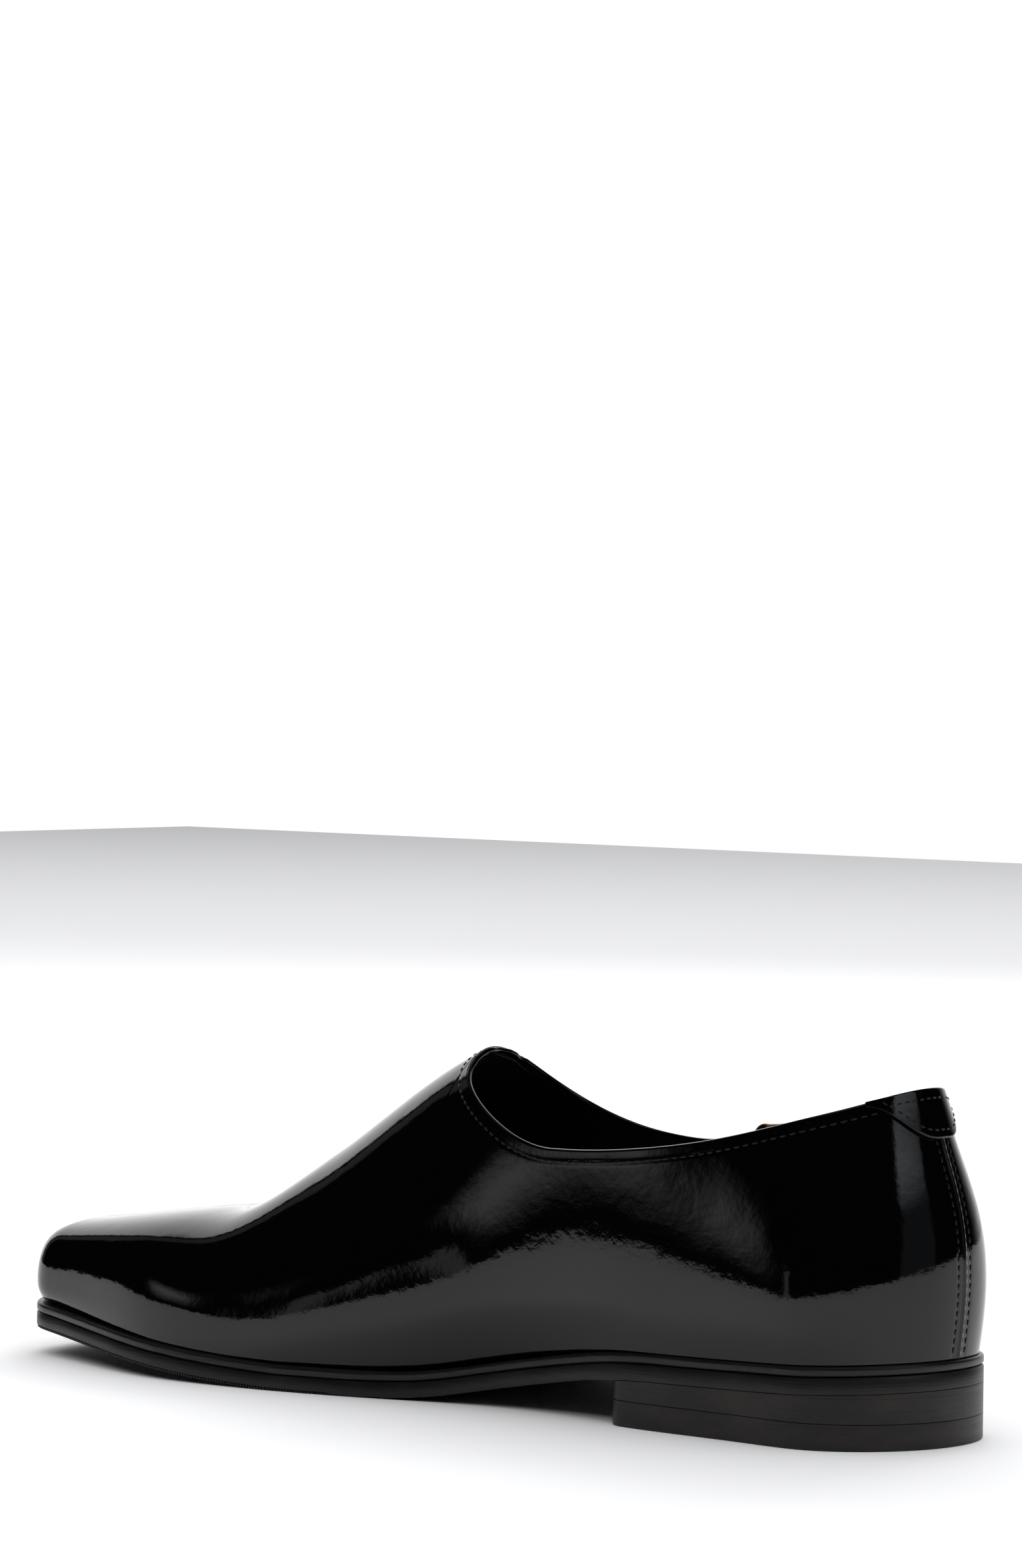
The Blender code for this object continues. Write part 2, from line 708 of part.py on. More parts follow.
def rounded_rectangle(length, height, radius, steps=5, between_corners=7):
    """Points of a rectangle with round corners, counter-clockwise, some along the long rails."""
    points = []
    for quarter in range(4):
        turn = np.pi / 2 * (quarter + np.linspace(0, 1, steps))
        corner_x = (length / 2 - radius) * (1 if quarter in (0, 3) else -1)
        corner_y = (height / 2 - radius) * (1 if quarter in (0, 1) else -1)
        points += list(zip(corner_x + radius * np.cos(turn), corner_y + radius * np.sin(turn)))
        if quarter in (0, 2):
            rail = np.linspace(corner_x, -corner_x, between_corners + 2)[1:-1]
            points += [(x, points[-1][1]) for x in rail]
    return np.array(points)


def tube(name, path, radius, look, reference, sides=8):
    """A round wire along a path of points, with flat ends."""
    path = np.asarray(path, float)
    ahead = np.gradient(path, axis=0)
    ahead /= np.linalg.norm(ahead, axis=1)[:, None]
    turn = np.linspace(0, 2 * np.pi, sides, endpoint=False)[:, None]
    mesh_bm = bmesh.new()
    rows = []
    for point, direction, size in zip(path, ahead, np.broadcast_to(radius, len(path))):
        across = np.cross(direction, reference)
        across /= np.linalg.norm(across)
        other = np.cross(direction, across)
        ring = point + size * (np.cos(turn) * across + np.sin(turn) * other)
        rows.append([mesh_bm.verts.new(corner) for corner in ring])
    for low, high in zip(rows, rows[1:]):
        for i in range(sides):
            j = (i + 1) % sides
            mesh_bm.faces.new((low[i], low[j], high[j], high[i]))
    mesh_bm.faces.new(rows[0])
    mesh_bm.faces.new(rows[-1])
    return add_solid(name, mesh_bm, look)


def build_buckle():
    """The frame: a rounded ring over the strap, with a bar under the strap between its rails."""
    copper = material("copper plate", (0.80, 0.47, 0.36), 0.22, metallic=1.0)
    centre, along, up, out = buckle_axes()
    bar_low = 2 * CLEARANCE
    ring_low = bar_low + STRAP_THICKNESS
    length = BUCKLE_LENGTH - BUCKLE_RAIL
    height = BUCKLE_HEIGHT - BUCKLE_RAIL
    middle_line = rounded_rectangle(length, height, BUCKLE_CORNER)
    heading = np.roll(middle_line, -1, axis=0) - np.roll(middle_line, 1, axis=0)
    heading /= np.linalg.norm(heading, axis=1)[:, None]
    sideways = np.column_stack([heading[:, 1], -heading[:, 0]])
    turn = np.linspace(0, 2 * np.pi, 8, endpoint=False) + np.pi / 8
    flat = 1 / np.cos(np.pi / 8)
    rows = []
    for place, side in zip(middle_line, sideways):
        near_bar = np.cos(np.clip(abs(place[0]) / HUMP_REACH, 0, 1) * np.pi / 2) ** 2
        behind = TAB_THICKNESS + CLEARANCE if place[0] < 0 else 0
        low = bar_low + (ring_low + behind - bar_low) * (1 - near_bar)
        row = []
        for angle in turn:
            wide = place + side * np.cos(angle) * flat * BUCKLE_RAIL / 2
            high = low + BUCKLE_GAUGE / 2 * (1 + np.sin(angle) * flat)
            row.append(centre + along * wide[0] + up * wide[1] + out * high)
        rows.append(row + row[:1])
    frame_bm = bmesh.new()
    add_grid(frame_bm, rows, closed=True)
    frame = add_solid("buckle_frame", frame_bm, copper)
    bar_line = [centre + up * rise + out * (bar_low + BAR_GAUGE / 2) for rise in (-height / 2, height / 2)]
    bar = tube("buckle_bar", bar_line, BAR_GAUGE / 2, copper, along)
    cut_with(frame, bar, "UNION")
    return frame


def build_prong():
    """The prong, from the bar through the strap's hole to the top of the front rail."""
    copper = material("prong plate", (0.80, 0.47, 0.36), 0.22, metallic=1.0)
    centre, along, up, out = buckle_axes()
    radius = PRONG_GAUGE / 2
    low = CLEARANCE + radius
    rail_top = 2 * CLEARANCE + STRAP_THICKNESS + BUCKLE_GAUGE
    high = rail_top + CLEARANCE + radius
    rail_inside = BUCKLE_LENGTH / 2 - BUCKLE_RAIL
    route = [
        (BAR_GAUGE / 2 + CLEARANCE + radius, low),
        (PRONG_REACH - radius, low),
        (PRONG_REACH, low + PRONG_GAUGE),
        (PRONG_REACH + radius, (low + high) / 2 + radius),
        (rail_inside - PRONG_GAUGE, high),
        (BUCKLE_LENGTH / 2, high),
    ]
    path = [centre + along * forward + out * rise for forward, rise in route]
    return tube("buckle_prong", path, radius, copper, up)


def main():
    for existing in list(bpy.data.objects):
        bpy.data.objects.remove(existing, do_unlink=True)
    build_sole()
    build_insole()
    build_upper()
    build_back_patch()
    build_strap()
    build_tab()
    build_buckle()
    build_prong()


main()
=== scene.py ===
import math
import bmesh
import bpy
import numpy as np
from mathutils import Matrix, Vector
from mathutils.bvhtree import BVHTree
from mathutils.kdtree import KDTree


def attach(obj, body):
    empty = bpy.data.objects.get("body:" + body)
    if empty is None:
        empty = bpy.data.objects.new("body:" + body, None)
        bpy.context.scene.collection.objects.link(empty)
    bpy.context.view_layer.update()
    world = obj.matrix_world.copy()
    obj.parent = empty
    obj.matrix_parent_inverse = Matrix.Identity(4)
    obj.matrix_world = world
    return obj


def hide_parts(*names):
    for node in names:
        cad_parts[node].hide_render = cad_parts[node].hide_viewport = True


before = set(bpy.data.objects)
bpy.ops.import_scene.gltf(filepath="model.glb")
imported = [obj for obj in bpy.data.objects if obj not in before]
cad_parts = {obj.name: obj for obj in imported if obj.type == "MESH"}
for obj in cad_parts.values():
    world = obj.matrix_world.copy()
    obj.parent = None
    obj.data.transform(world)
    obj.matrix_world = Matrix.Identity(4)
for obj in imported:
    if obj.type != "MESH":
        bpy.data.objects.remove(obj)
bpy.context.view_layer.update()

# Outsole: the thin rubber sole from toe to heel, moulded flat and bent over the last.
# It arches at the waist, lies on the floor at the ball and springs up at the toe. Its edge is
# trimmed and dressed a very dark brown, and fine ribs cross the underside of the forepart.
SOLE_LENGTH = 0.302
BALL_WIDTH = 0.106
HEEL_HEIGHT = 0.0150
TOE_SPRING = 0.0082
OUTSOLE_THICKNESS = 0.0043
OUTSOLE_ROUND = 0.0009
ROUND_AT_HEEL = 0.06
ROUND_STARTS, ROUND_CHANGE = 0.29, 0.03
TOP_BEVEL = 0.0005
JOINT_GROOVE = 0.0004
RIB_PITCH = 0.00088
RIB_DEPTH = 0.00050
RIB_WIDTH = 0.00050
RIB_FRONT, RIB_BACK = 0.968, 0.575
RIB_FADE = 0.008
RIB_CENTRE = 0.55
RIB_SINK = 1.1
RIB_INSET = 0.0007
HEEL_ROUND = 0.100
TOE_ROUND = 0.055
HEEL_POWER = 2.1
TOE_POWER = 2.7
BALL_BACK = 0.56
BALL_FRONT = 0.64


def spline(places, values):
    """A natural cubic spline through the points, as a function."""
    places = np.asarray(places, float)
    values = np.asarray(values, float)
    count = len(places)
    step = np.diff(places)
    matrix = np.eye(count)
    right = np.zeros(count)
    for i in range(1, count - 1):
        matrix[i, i - 1:i + 2] = step[i - 1], 2 * (step[i - 1] + step[i]), step[i]
        right[i] = 6 * ((values[i + 1] - values[i]) / step[i] - (values[i] - values[i - 1]) / step[i - 1])
    bend = np.linalg.solve(matrix, right)

    def value_at(place):
        i = np.clip(np.searchsorted(places, place) - 1, 0, count - 2)
        before = place - places[i]
        after = places[i + 1] - place
        curved = (bend[i] * after**3 + bend[i + 1] * before**3) / (6 * step[i])
        from_left = (values[i] / step[i] - bend[i] * step[i] / 6) * after
        from_right = (values[i + 1] / step[i] - bend[i + 1] * step[i] / 6) * before
        return curved + from_left + from_right

    return value_at


def table(names, rows):
    """Named columns of a table of sections, each a smooth function of the first column."""
    columns = np.array(rows, float).T
    return {name: spline(columns[0], column) for name, column in zip(names.split(), columns[1:])}


OUTLINE = table("centre half", [
    (0.00, 0.060, 0.570), (0.08, 0.000, 0.605), (0.16, 0.008, 0.620),
    (0.26, 0.010, 0.630), (0.36, 0.060, 0.620), (0.46, 0.080, 0.680),
    (0.56, 0.048, 0.830), (0.64, 0.028, 0.938), (0.71, 0.008, 0.988),
    (0.78, -0.028, 0.970), (0.86, -0.062, 0.843), (0.93, -0.090, 0.703),
    (1.00, -0.115, 0.580),
])
ARCH = table("height", [
    (0.00, 1.00), (0.10, 0.92), (0.20, 0.86), (0.28, 0.80),
    (0.36, 0.570), (0.44, 0.275), (0.50, 0.065), (0.56, 0.00),
])
SPRING = table("height", [
    (0.64, 0.00), (0.72, 0.17), (0.82, 0.49), (0.90, 0.73),
    (1.00, 1.00),
])


def x_at(share):
    return SOLE_LENGTH * (0.5 - share)


def share_at(x):
    return 0.5 - x / SOLE_LENGTH


def smooth(place):
    """An even change from 0 to 1 that starts and ends level."""
    place = np.clip(place, 0, 1)
    return place**2 * (3 - 2 * place)


def end_rounding(share):
    """How far the outline has opened at a share of the length: 0 at both ends, 1 between."""
    back = np.clip(1 - share / HEEL_ROUND, 0, 1)
    front = np.clip(1 - (1 - share) / TOE_ROUND, 0, 1)
    heel = (1 - back**HEEL_POWER) ** (1 / HEEL_POWER)
    toe = (1 - front**TOE_POWER) ** (1 / TOE_POWER)
    return heel * toe


def outline_y(share, side):
    half = OUTLINE["half"](share) * end_rounding(share)
    return (OUTLINE["centre"](share) + side * half) * BALL_WIDTH / 2


def underside(share):
    """Height of the outsole's underside, flat on the floor at the ball."""
    arch = ARCH["height"](np.minimum(share, BALL_BACK)) * HEEL_HEIGHT
    spring = SPRING["height"](np.maximum(share, BALL_FRONT)) * TOE_SPRING
    return np.maximum(np.where(share < BALL_BACK, arch, spring), 0)


def outsole_top(share):
    return underside(share) + OUTSOLE_THICKNESS


def ribbed(share):
    """1 over the ribbed forepart, 0 elsewhere."""
    return smooth((share - RIB_BACK) / RIB_FADE) * smooth((RIB_FRONT - share) / RIB_FADE)


def stations(last=1.0, count=190):
    """Places along the length, close together at round ends."""
    turn = np.linspace(0, np.pi, count)
    both_ends = 0.5 - 0.5 * np.cos(turn)
    heel_only = 1 - np.cos(turn / 2)
    return last * (both_ends if last == 1.0 else heel_only)


def plan_loop(edge, places):
    """The outline as a closed loop in plan, from the heel's back along the inner side first."""
    inner = [(x_at(share), edge(share, -1)) for share in places]
    outer = [(x_at(share), edge(share, 1)) for share in places[::-1]]
    loop = np.array(inner + outer[:-1])
    tip_is_point = abs(loop[len(inner) - 1, 1] - loop[len(inner), 1]) < 1e-6
    return np.delete(loop, len(inner), axis=0) if tip_is_point else loop


def unit(vectors):
    return vectors / np.linalg.norm(vectors, axis=-1, keepdims=True)


def moved_in(loop, inset):
    """A loop in plan moved inwards by a distance."""
    ahead = np.roll(loop, -1, axis=0) - np.roll(loop, 1, axis=0)
    return loop + unit(np.stack([ahead[:, 1], -ahead[:, 0]], axis=-1)) * inset


def ring_faces(rings, sides, closed=False, start=0):
    """Faces between rings of vertices that follow each other, back to the first if closed."""
    faces = []
    for i in range(rings if closed else rings - 1):
        low, high = start + i * sides, start + (i + 1) % rings * sides
        for j in range(sides):
            k = (j + 1) % sides
            faces.append((low + j, low + k, high + k, high + j))
    return faces


def stacked(loops, open_ring=False):
    """Vertices and faces of loops that lie on each other, with the first and last filled across."""
    count = len(loops[0])
    verts = np.concatenate(loops)
    faces = ring_faces(len(loops), count, open_ring)
    if not open_ring:
        for base in (0, (len(loops) - 1) * count):
            for i in range(count // 2):
                faces.append((base + i, base + i + 1, base + (-i - 1) % count, base + -i % count))
    return verts, faces


def add_object(name, data):
    """A new object in the scene, at the origin."""
    thing = bpy.data.objects.new(name, data)
    bpy.context.collection.objects.link(thing)
    return thing


def make_piece(name, verts, faces, finishes, nodes, sharp=40, face_finish=None):
    """A finished piece of the shoe: doubles merged, faces outwards, smooth but for its edges."""
    mesh = bpy.data.meshes.new(name)
    clean = [tuple(dict.fromkeys(face)) for face in faces]
    mesh.from_pydata([tuple(vert) for vert in verts], [], [face for face in clean if len(face) > 2])
    for finish in finishes:
        mesh.materials.append(finish.material)
    if face_finish is not None:
        mesh.polygons.foreach_set("material_index", face_finish)
    tidy = bmesh.new()
    tidy.from_mesh(mesh)
    bmesh.ops.remove_doubles(tidy, verts=tidy.verts, dist=2e-6)
    bmesh.ops.dissolve_degenerate(tidy, edges=tidy.edges, dist=1e-6)
    bmesh.ops.recalc_face_normals(tidy, faces=tidy.faces)
    tidy.to_mesh(mesh)
    tidy.free()
    mesh.shade_smooth()
    mesh.set_sharp_from_angle(angle=math.radians(sharp))
    return dress(add_object(name, mesh), nodes)


def dress(piece, nodes=()):
    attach(piece, "root")
    if nodes:
        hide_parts(*nodes)
    return piece


class Value:
    """One result of a shader node, so that maths on it is written as an expression."""

    def __init__(self, tree, socket):
        self.tree = tree
        self.socket = socket

    def combine(self, operation, first, second):
        node = self.tree.nodes.new("ShaderNodeMath")
        node.operation = operation
        for place, item in zip(node.inputs, (first, second)):
            if isinstance(item, Value):
                self.tree.links.new(item.socket, place)
            else:
                place.default_value = item
        return Value(self.tree, node.outputs[0])

    def __add__(self, other):
        return self.combine("ADD", self, other)

    def __sub__(self, other):
        return self.combine("SUBTRACT", self, other)

    def __rsub__(self, other):
        return self.combine("SUBTRACT", other, self)

    def __mul__(self, other):
        return self.combine("MULTIPLY", self, other)

    def __truediv__(self, other):
        return self.combine("DIVIDE", self, other)

    __radd__ = __add__
    __rmul__ = __mul__


class NodeMaker:
    """Adds nodes to a tree: their settings first, then the values or links of their sockets."""

    def __init__(self, tree):
        self.tree = tree

    def inputs(self, *names):
        group = self.tree.nodes.new("NodeGroupInput")
        return [Value(self.tree, group.outputs[name]) for name in names]

    def add(self, kind, settings=(), sockets=(), output=0):
        node = self.tree.nodes.new(kind)
        for key, setting in dict(settings).items():
            if key == "stops":
                ramp = node.color_ramp.elements
                for i, (place, colour) in enumerate(setting):
                    element = ramp[i] if i < 2 else ramp.new(place)
                    element.position = place
                    element.color = colour if len(colour) == 4 else (*colour, 1)
            else:
                setattr(node, key, setting)
        for key, item in dict(sockets).items():
            if isinstance(item, Value):
                self.tree.links.new(item.socket, node.inputs[key])
            else:
                node.inputs[key].default_value = item
        return Value(self.tree, node.outputs[output])


class Finish(NodeMaker):
    """A material with its Principled shader, and Object coordinates for its patterns."""

    def __init__(self, name, colour, roughness, **constants):
        self.material = bpy.data.materials.new(name)
        self.material.use_nodes = True
        super().__init__(self.material.node_tree)
        self.shader = self.tree.nodes["Principled BSDF"]
        self.feed("Base Color", (*colour, 1))
        self.feed("Roughness", roughness)
        for key, item in constants.items():
            self.feed(key.replace("_", " ").title().replace("Ior", "IOR"), item)
        self.place = self.add("ShaderNodeTexCoord", output=3)

    def feed(self, socket, item):
        if isinstance(item, Value):
            self.tree.links.new(item.socket, self.shader.inputs[socket])
        else:
            self.shader.inputs[socket].default_value = item

    def stretched(self, *scale):
        return self.add("ShaderNodeMapping", {}, {"Vector": self.place, "Scale": scale})

    def noise(self, scale, detail=2.0, vector=None, roughness=0.5):
        sockets = {"Vector": vector or self.place, "Scale": scale, "Detail": detail, "Roughness": roughness}
        return self.add("ShaderNodeTexNoise", {}, sockets)

    def mix(self, factor, first, second):
        sockets = {0: factor, 6: (*first, 1) if isinstance(first, tuple) else first,
                   7: (*second, 1) if isinstance(second, tuple) else second}
        return self.add("ShaderNodeMix", {"data_type": "RGBA"}, sockets, output=2)

    def ramp(self, factor, *stops):
        return self.add("ShaderNodeValToRGB", {"stops": stops}, {"Fac": factor})

    def bump(self, height, distance):
        """Relief of a real depth in metres."""
        self.feed("Normal", self.add("ShaderNodeBump", {}, {"Height": height, "Distance": distance}))


def dressed_edge(name, colour, patch):
    """Trimmed sole edge: streaks run along it, with a little brown where the dressing is thin."""
    finish = Finish(name, colour, 0.40, specular_ior_level=0.34)
    streaks = finish.noise(1.0, 4.0, finish.stretched(55, 55, 2600))
    patches = finish.noise(1.0, 3.0, finish.stretched(60, 60, 160))
    thin = finish.ramp(patches * 0.7 + streaks * 0.3, (0.42, (0, 0, 0)), (0.66, (1, 1, 1)))
    finish.feed("Base Color", finish.mix(thin, colour, patch))
    finish.feed("Roughness", 0.30 + streaks * 0.22)
    finish.bump(streaks, 0.00006)
    return finish


sole_edge_finish = dressed_edge("dressed sole edge", (0.0060, 0.0052, 0.0052), (0.0120, 0.0098, 0.0092))
rubber_finish = Finish("sole rubber", (0.012, 0.011, 0.011), 0.55)
rubber_finish.bump(rubber_finish.noise(1500.0, 3.0), 0.00005)

sole_places = stations()
sole_loop = plan_loop(outline_y, sole_places)


def lifted(loop, height):
    return np.column_stack([loop, height(share_at(loop[:, 0]))])


def outsole_low(share):
    return underside(share) + RIB_DEPTH * ribbed(share)


edge_turn = np.radians([0, 22, 45, 68, 90])
rounded_ahead = ROUND_AT_HEEL + (1 - ROUND_AT_HEEL) * smooth(
    (share_at(sole_loop[:, 0]) - ROUND_STARTS) / ROUND_CHANGE)
outsole_loops = []
for angle in edge_turn:
    inset = OUTSOLE_ROUND * (1 - math.sin(angle)) * rounded_ahead
    rise = OUTSOLE_ROUND * (1 - math.cos(angle)) * rounded_ahead
    loop = moved_in(sole_loop, inset[:, None])
    outsole_loops.append(np.column_stack([loop, outsole_low(share_at(loop[:, 0])) + rise]))
outsole_loops.append(lifted(sole_loop, lambda share: outsole_top(share) - TOP_BEVEL))
outsole_loops.append(lifted(moved_in(sole_loop, JOINT_GROOVE), outsole_top))
verts, faces = stacked(outsole_loops)
under = [int(len(face) == 4 and max(face) < len(sole_loop)) for face in faces]
make_piece("outsole_edge", verts, faces, (sole_edge_finish, rubber_finish), ("outsole",),
           50, under)

rib_count = int((RIB_FRONT - RIB_BACK) * SOLE_LENGTH / RIB_PITCH)
rib_shares = np.linspace(RIB_BACK, RIB_FRONT, rib_count)
rib_mesh = bpy.data.meshes.new("rib_places")
rib_height = underside(rib_shares) + RIB_DEPTH * RIB_CENTRE
rib_centre = (outline_y(rib_shares, 1) + outline_y(rib_shares, -1)) / 2
rib_mesh.from_pydata(list(zip(x_at(rib_shares), rib_centre, rib_height)), [], [])
rib_reach = outline_y(rib_shares, 1) - outline_y(rib_shares, -1) - RIB_INSET
rib_slope = -np.arctan(np.gradient(underside(rib_shares), x_at(rib_shares)))
for key, values in (("reach", rib_reach), ("slope", rib_slope)):
    rib_mesh.attributes.new(key, "FLOAT", "POINT").data.foreach_set("value", values)
ribs = add_object("sole_ribs", rib_mesh)


def new_tree(name, sizes):
    """A Geometry Nodes tree with a geometry input, named sizes and a geometry output."""
    tree = bpy.data.node_groups.new(name, "GeometryNodeTree")
    tree.interface.new_socket("Geometry", in_out="INPUT", socket_type="NodeSocketGeometry")
    for size in sizes:
        tree.interface.new_socket(size, in_out="INPUT", socket_type="NodeSocketFloat")
    tree.interface.new_socket("Geometry", in_out="OUTPUT", socket_type="NodeSocketGeometry")
    return tree


def close_tree(tree, maker, instances, finish):
    """Ends a tree: real meshes with their material."""
    real = maker.add("GeometryNodeRealizeInstances", {}, {"Geometry": instances})
    seen = maker.add("GeometryNodeSetMaterial", {}, {"Geometry": real, "Material": finish.material})
    out = tree.nodes.new("NodeGroupOutput")
    tree.links.new(seen.socket, out.inputs["Geometry"])


def grow(carrier, tree, sizes):
    """Runs a tree on its carrier once and keeps the result as the carrier's plain mesh."""
    modifier = carrier.modifiers.new(tree.name, "NODES")
    modifier.node_group = tree
    for item in tree.interface.items_tree:
        if item.in_out == "INPUT" and item.name in sizes:
            modifier[item.identifier] = sizes[item.name]
    bpy.context.view_layer.update()
    evaluated = carrier.evaluated_get(bpy.context.evaluated_depsgraph_get())
    mesh = bpy.data.meshes.new_from_object(evaluated)
    carrier.modifiers.remove(modifier)
    carrier.data = mesh
    return carrier


rib_tree = new_tree("ribs across the forepart", ("Rib Width", "Rib Depth"))
maker = NodeMaker(rib_tree)
rib_points, width, depth = maker.inputs("Geometry", "Rib Width", "Rib Depth")
reach = maker.add("GeometryNodeInputNamedAttribute", {"data_type": "FLOAT"}, {"Name": "reach"})
slope = maker.add("GeometryNodeInputNamedAttribute", {"data_type": "FLOAT"}, {"Name": "slope"})
bar = maker.add("GeometryNodeMeshCube", {}, {"Size": (1, 1, 1)})
turned = maker.add("ShaderNodeCombineXYZ", {}, {"X": 0.0, "Y": slope, "Z": 0.0})
size = maker.add("ShaderNodeCombineXYZ", {}, {"X": width, "Y": reach, "Z": depth})
placed = maker.add("GeometryNodeInstanceOnPoints", {}, {
    "Points": rib_points, "Instance": bar, "Rotation": turned, "Scale": size})
close_tree(rib_tree, maker, placed, rubber_finish)
grow(ribs, rib_tree, {"Rib Width": RIB_WIDTH, "Rib Depth": RIB_DEPTH * RIB_SINK})
dress(ribs)

# Heel: a stack of leather lifts glued and nailed under the outsole, trimmed flush with its edge,
# and the hard rubber top lift that it stands on. Edge dressing covers it from side to side, and
# the joints of the lifts show through as faint level lines.
BREAST_DISTANCE = 0.089
BREAST_CORNER = 0.006
TOP_LIFT_THICKNESS = 0.0068
LIFT_PITCH = 0.0034
CLEARANCE = 0.0003
LIFT_ROUND = 0.0004
STACK_ROUND_LOW, STACK_ROUND_HIGH = 0.00005, 0.00010
LIFT_ROUND_HIGH = 0.0001
JOINT_RAGGED = 0.05

stack_colour = (0.0062, 0.0052, 0.0050)
stack_finish = dressed_edge("stacked heel edge", stack_colour, (0.0190, 0.0128, 0.0110))
across = stack_finish.noise(1.0, 3.0, stack_finish.stretched(90, 90, 900))
height = stack_finish.add("ShaderNodeSeparateXYZ", {}, {"Vector": stack_finish.place}, 2)
lift_number = height / LIFT_PITCH + across * JOINT_RAGGED
phase = lift_number.combine("FRACT", lift_number, 0.0)
joint = stack_finish.ramp(phase, (0.0, (1, 1, 1)), (0.06, (0, 0, 0)), (0.94, (0, 0, 0)), (1.0, (1, 1, 1)))
stack_finish.bump(across * 0.6 - joint * 0.2, 0.00009)
lift_finish = dressed_edge("top lift rubber", (0.0068, 0.0056, 0.0054), (0.0185, 0.0128, 0.0112))

breast = BREAST_DISTANCE / SOLE_LENGTH
corner = BREAST_CORNER / SOLE_LENGTH


def heel_edge(share, side):
    into_corner = np.clip((share - breast + corner) / corner, 0, 1)
    inset = BREAST_CORNER * (1 - np.sqrt(1 - into_corner**2))
    return outline_y(share, side) - side * inset


corner_turn = np.linspace(0, np.pi / 2, 14)[1:]
heel_places = np.concatenate([stations(breast - corner, 90), breast - corner + corner * np.sin(corner_turn)])
heel_loop = plan_loop(heel_edge, heel_places)


def heel_slab(name, low, high, low_round, high_round, finish, node):
    """A heel layer with lightly rounded or square edges."""
    loops = []
    for angle in edge_turn:
        inset = low_round * (1 - math.sin(angle))
        rise = low_round * (1 - math.cos(angle))
        loops.append(lifted(moved_in(heel_loop, inset), lambda share: low(share) + rise))
    loops.append(lifted(heel_loop, lambda share: high(share) - high_round))
    loops.append(lifted(moved_in(heel_loop, high_round), high))
    heel_verts, heel_faces = stacked(loops)
    make_piece(name, heel_verts, heel_faces, (finish,), (node,), 35)


heel_slab("heel_lifts", lambda share: TOP_LIFT_THICKNESS + CLEARANCE / 3 + 0 * share,
          lambda share: underside(share) - CLEARANCE / 3, STACK_ROUND_LOW, STACK_ROUND_HIGH,
          stack_finish, "heel_stack")
heel_slab("heel_top_lift", lambda share: 0 * share, lambda share: TOP_LIFT_THICKNESS + 0 * share,
          LIFT_ROUND, LIFT_ROUND_HIGH, lift_finish, "top_lift")

# Welt: a narrow strip of dressed leather between the upper and the outsole, all round the shoe.
# The upper is cemented to it. Its edge is rounded over and burnished, so it catches a thin line
# of light under the upper, with a dark joint line between it and the outsole.
WELT_THICKNESS = 0.0025
WELT_WIDTH = 0.012
WELT_LEDGE_HEEL = 0.0010
WELT_LEDGE_FOREPART = 0.0022
LEDGE_CHANGE = (0.15, 0.45)
WELT_ROUND = 0.0009
WELT_LOW_BEVEL = 0.0004

welt_finish = dressed_edge("burnished welt", (0.0060, 0.0054, 0.0054), (0.0100, 0.0086, 0.0084))
welt_finish.feed("Roughness", 0.24 + welt_finish.noise(700.0, 2.0) * 0.2)


def welt_low(share):
    return outsole_top(share) + CLEARANCE


def welt_top(share):
    return welt_low(share) + WELT_THICKNESS


def feather(share):
    """Height of the upper's lower edge."""
    return welt_top(share) + CLEARANCE


def ledge(share):
    """How far the welt shows outside the upper."""
    start, end = LEDGE_CHANGE
    wider = smooth((share - start) / (end - start))
    return WELT_LEDGE_HEEL + (WELT_LEDGE_FOREPART - WELT_LEDGE_HEEL) * wider


welt_loops = [lifted(moved_in(sole_loop, WELT_WIDTH), welt_low),
              lifted(moved_in(sole_loop, JOINT_GROOVE), welt_low),
              lifted(sole_loop, lambda share: welt_low(share) + WELT_LOW_BEVEL)]
for angle in edge_turn:
    inset = WELT_ROUND * (1 - math.cos(angle))
    drop = WELT_ROUND * (1 - math.sin(angle))
    welt_loops.append(lifted(moved_in(sole_loop, inset), lambda share: welt_top(share) - drop))
welt_loops.append(lifted(moved_in(sole_loop, WELT_WIDTH), welt_top))
verts, faces = stacked(welt_loops, open_ring=True)
make_piece("welt_strip", verts, faces, (welt_finish,), ("welt",), 45)

# Insole: the board that the upper is lasted over, with its leather sock cemented on top.
# The sock is smooth black lining leather with a fine grain, and it turns up a little at the edge.
INSOLE_THICKNESS = 0.0030
UPPER_WALL = 0.0020
INSTEP_HEIGHT = 0.0800
TOE_TIP_HEIGHT = 0.0120
BACK_HEIGHT = 0.0645
BACK_REACH = 0.30
TOE_REACH = 0.10
TOE_TIP_ROUND = 0.055
TIP_POWER = 2.1
BULGE_LIMIT = 0.60
FOOT_OUT_PULL = 0.60
FOOT_UP_PULL = 0.33
BULGE_DOWN_PULL = 0.40
CURVE_STEPS = 300
SOCK_TURN_UP = 0.0012
SOCK_LEVELS = ((0.0001, 1.0), (0.0006, 0.93), (0.0020, 0.72), (0.0045, 0.35), (0.0080, 0.10), (0.0130, 0.0))

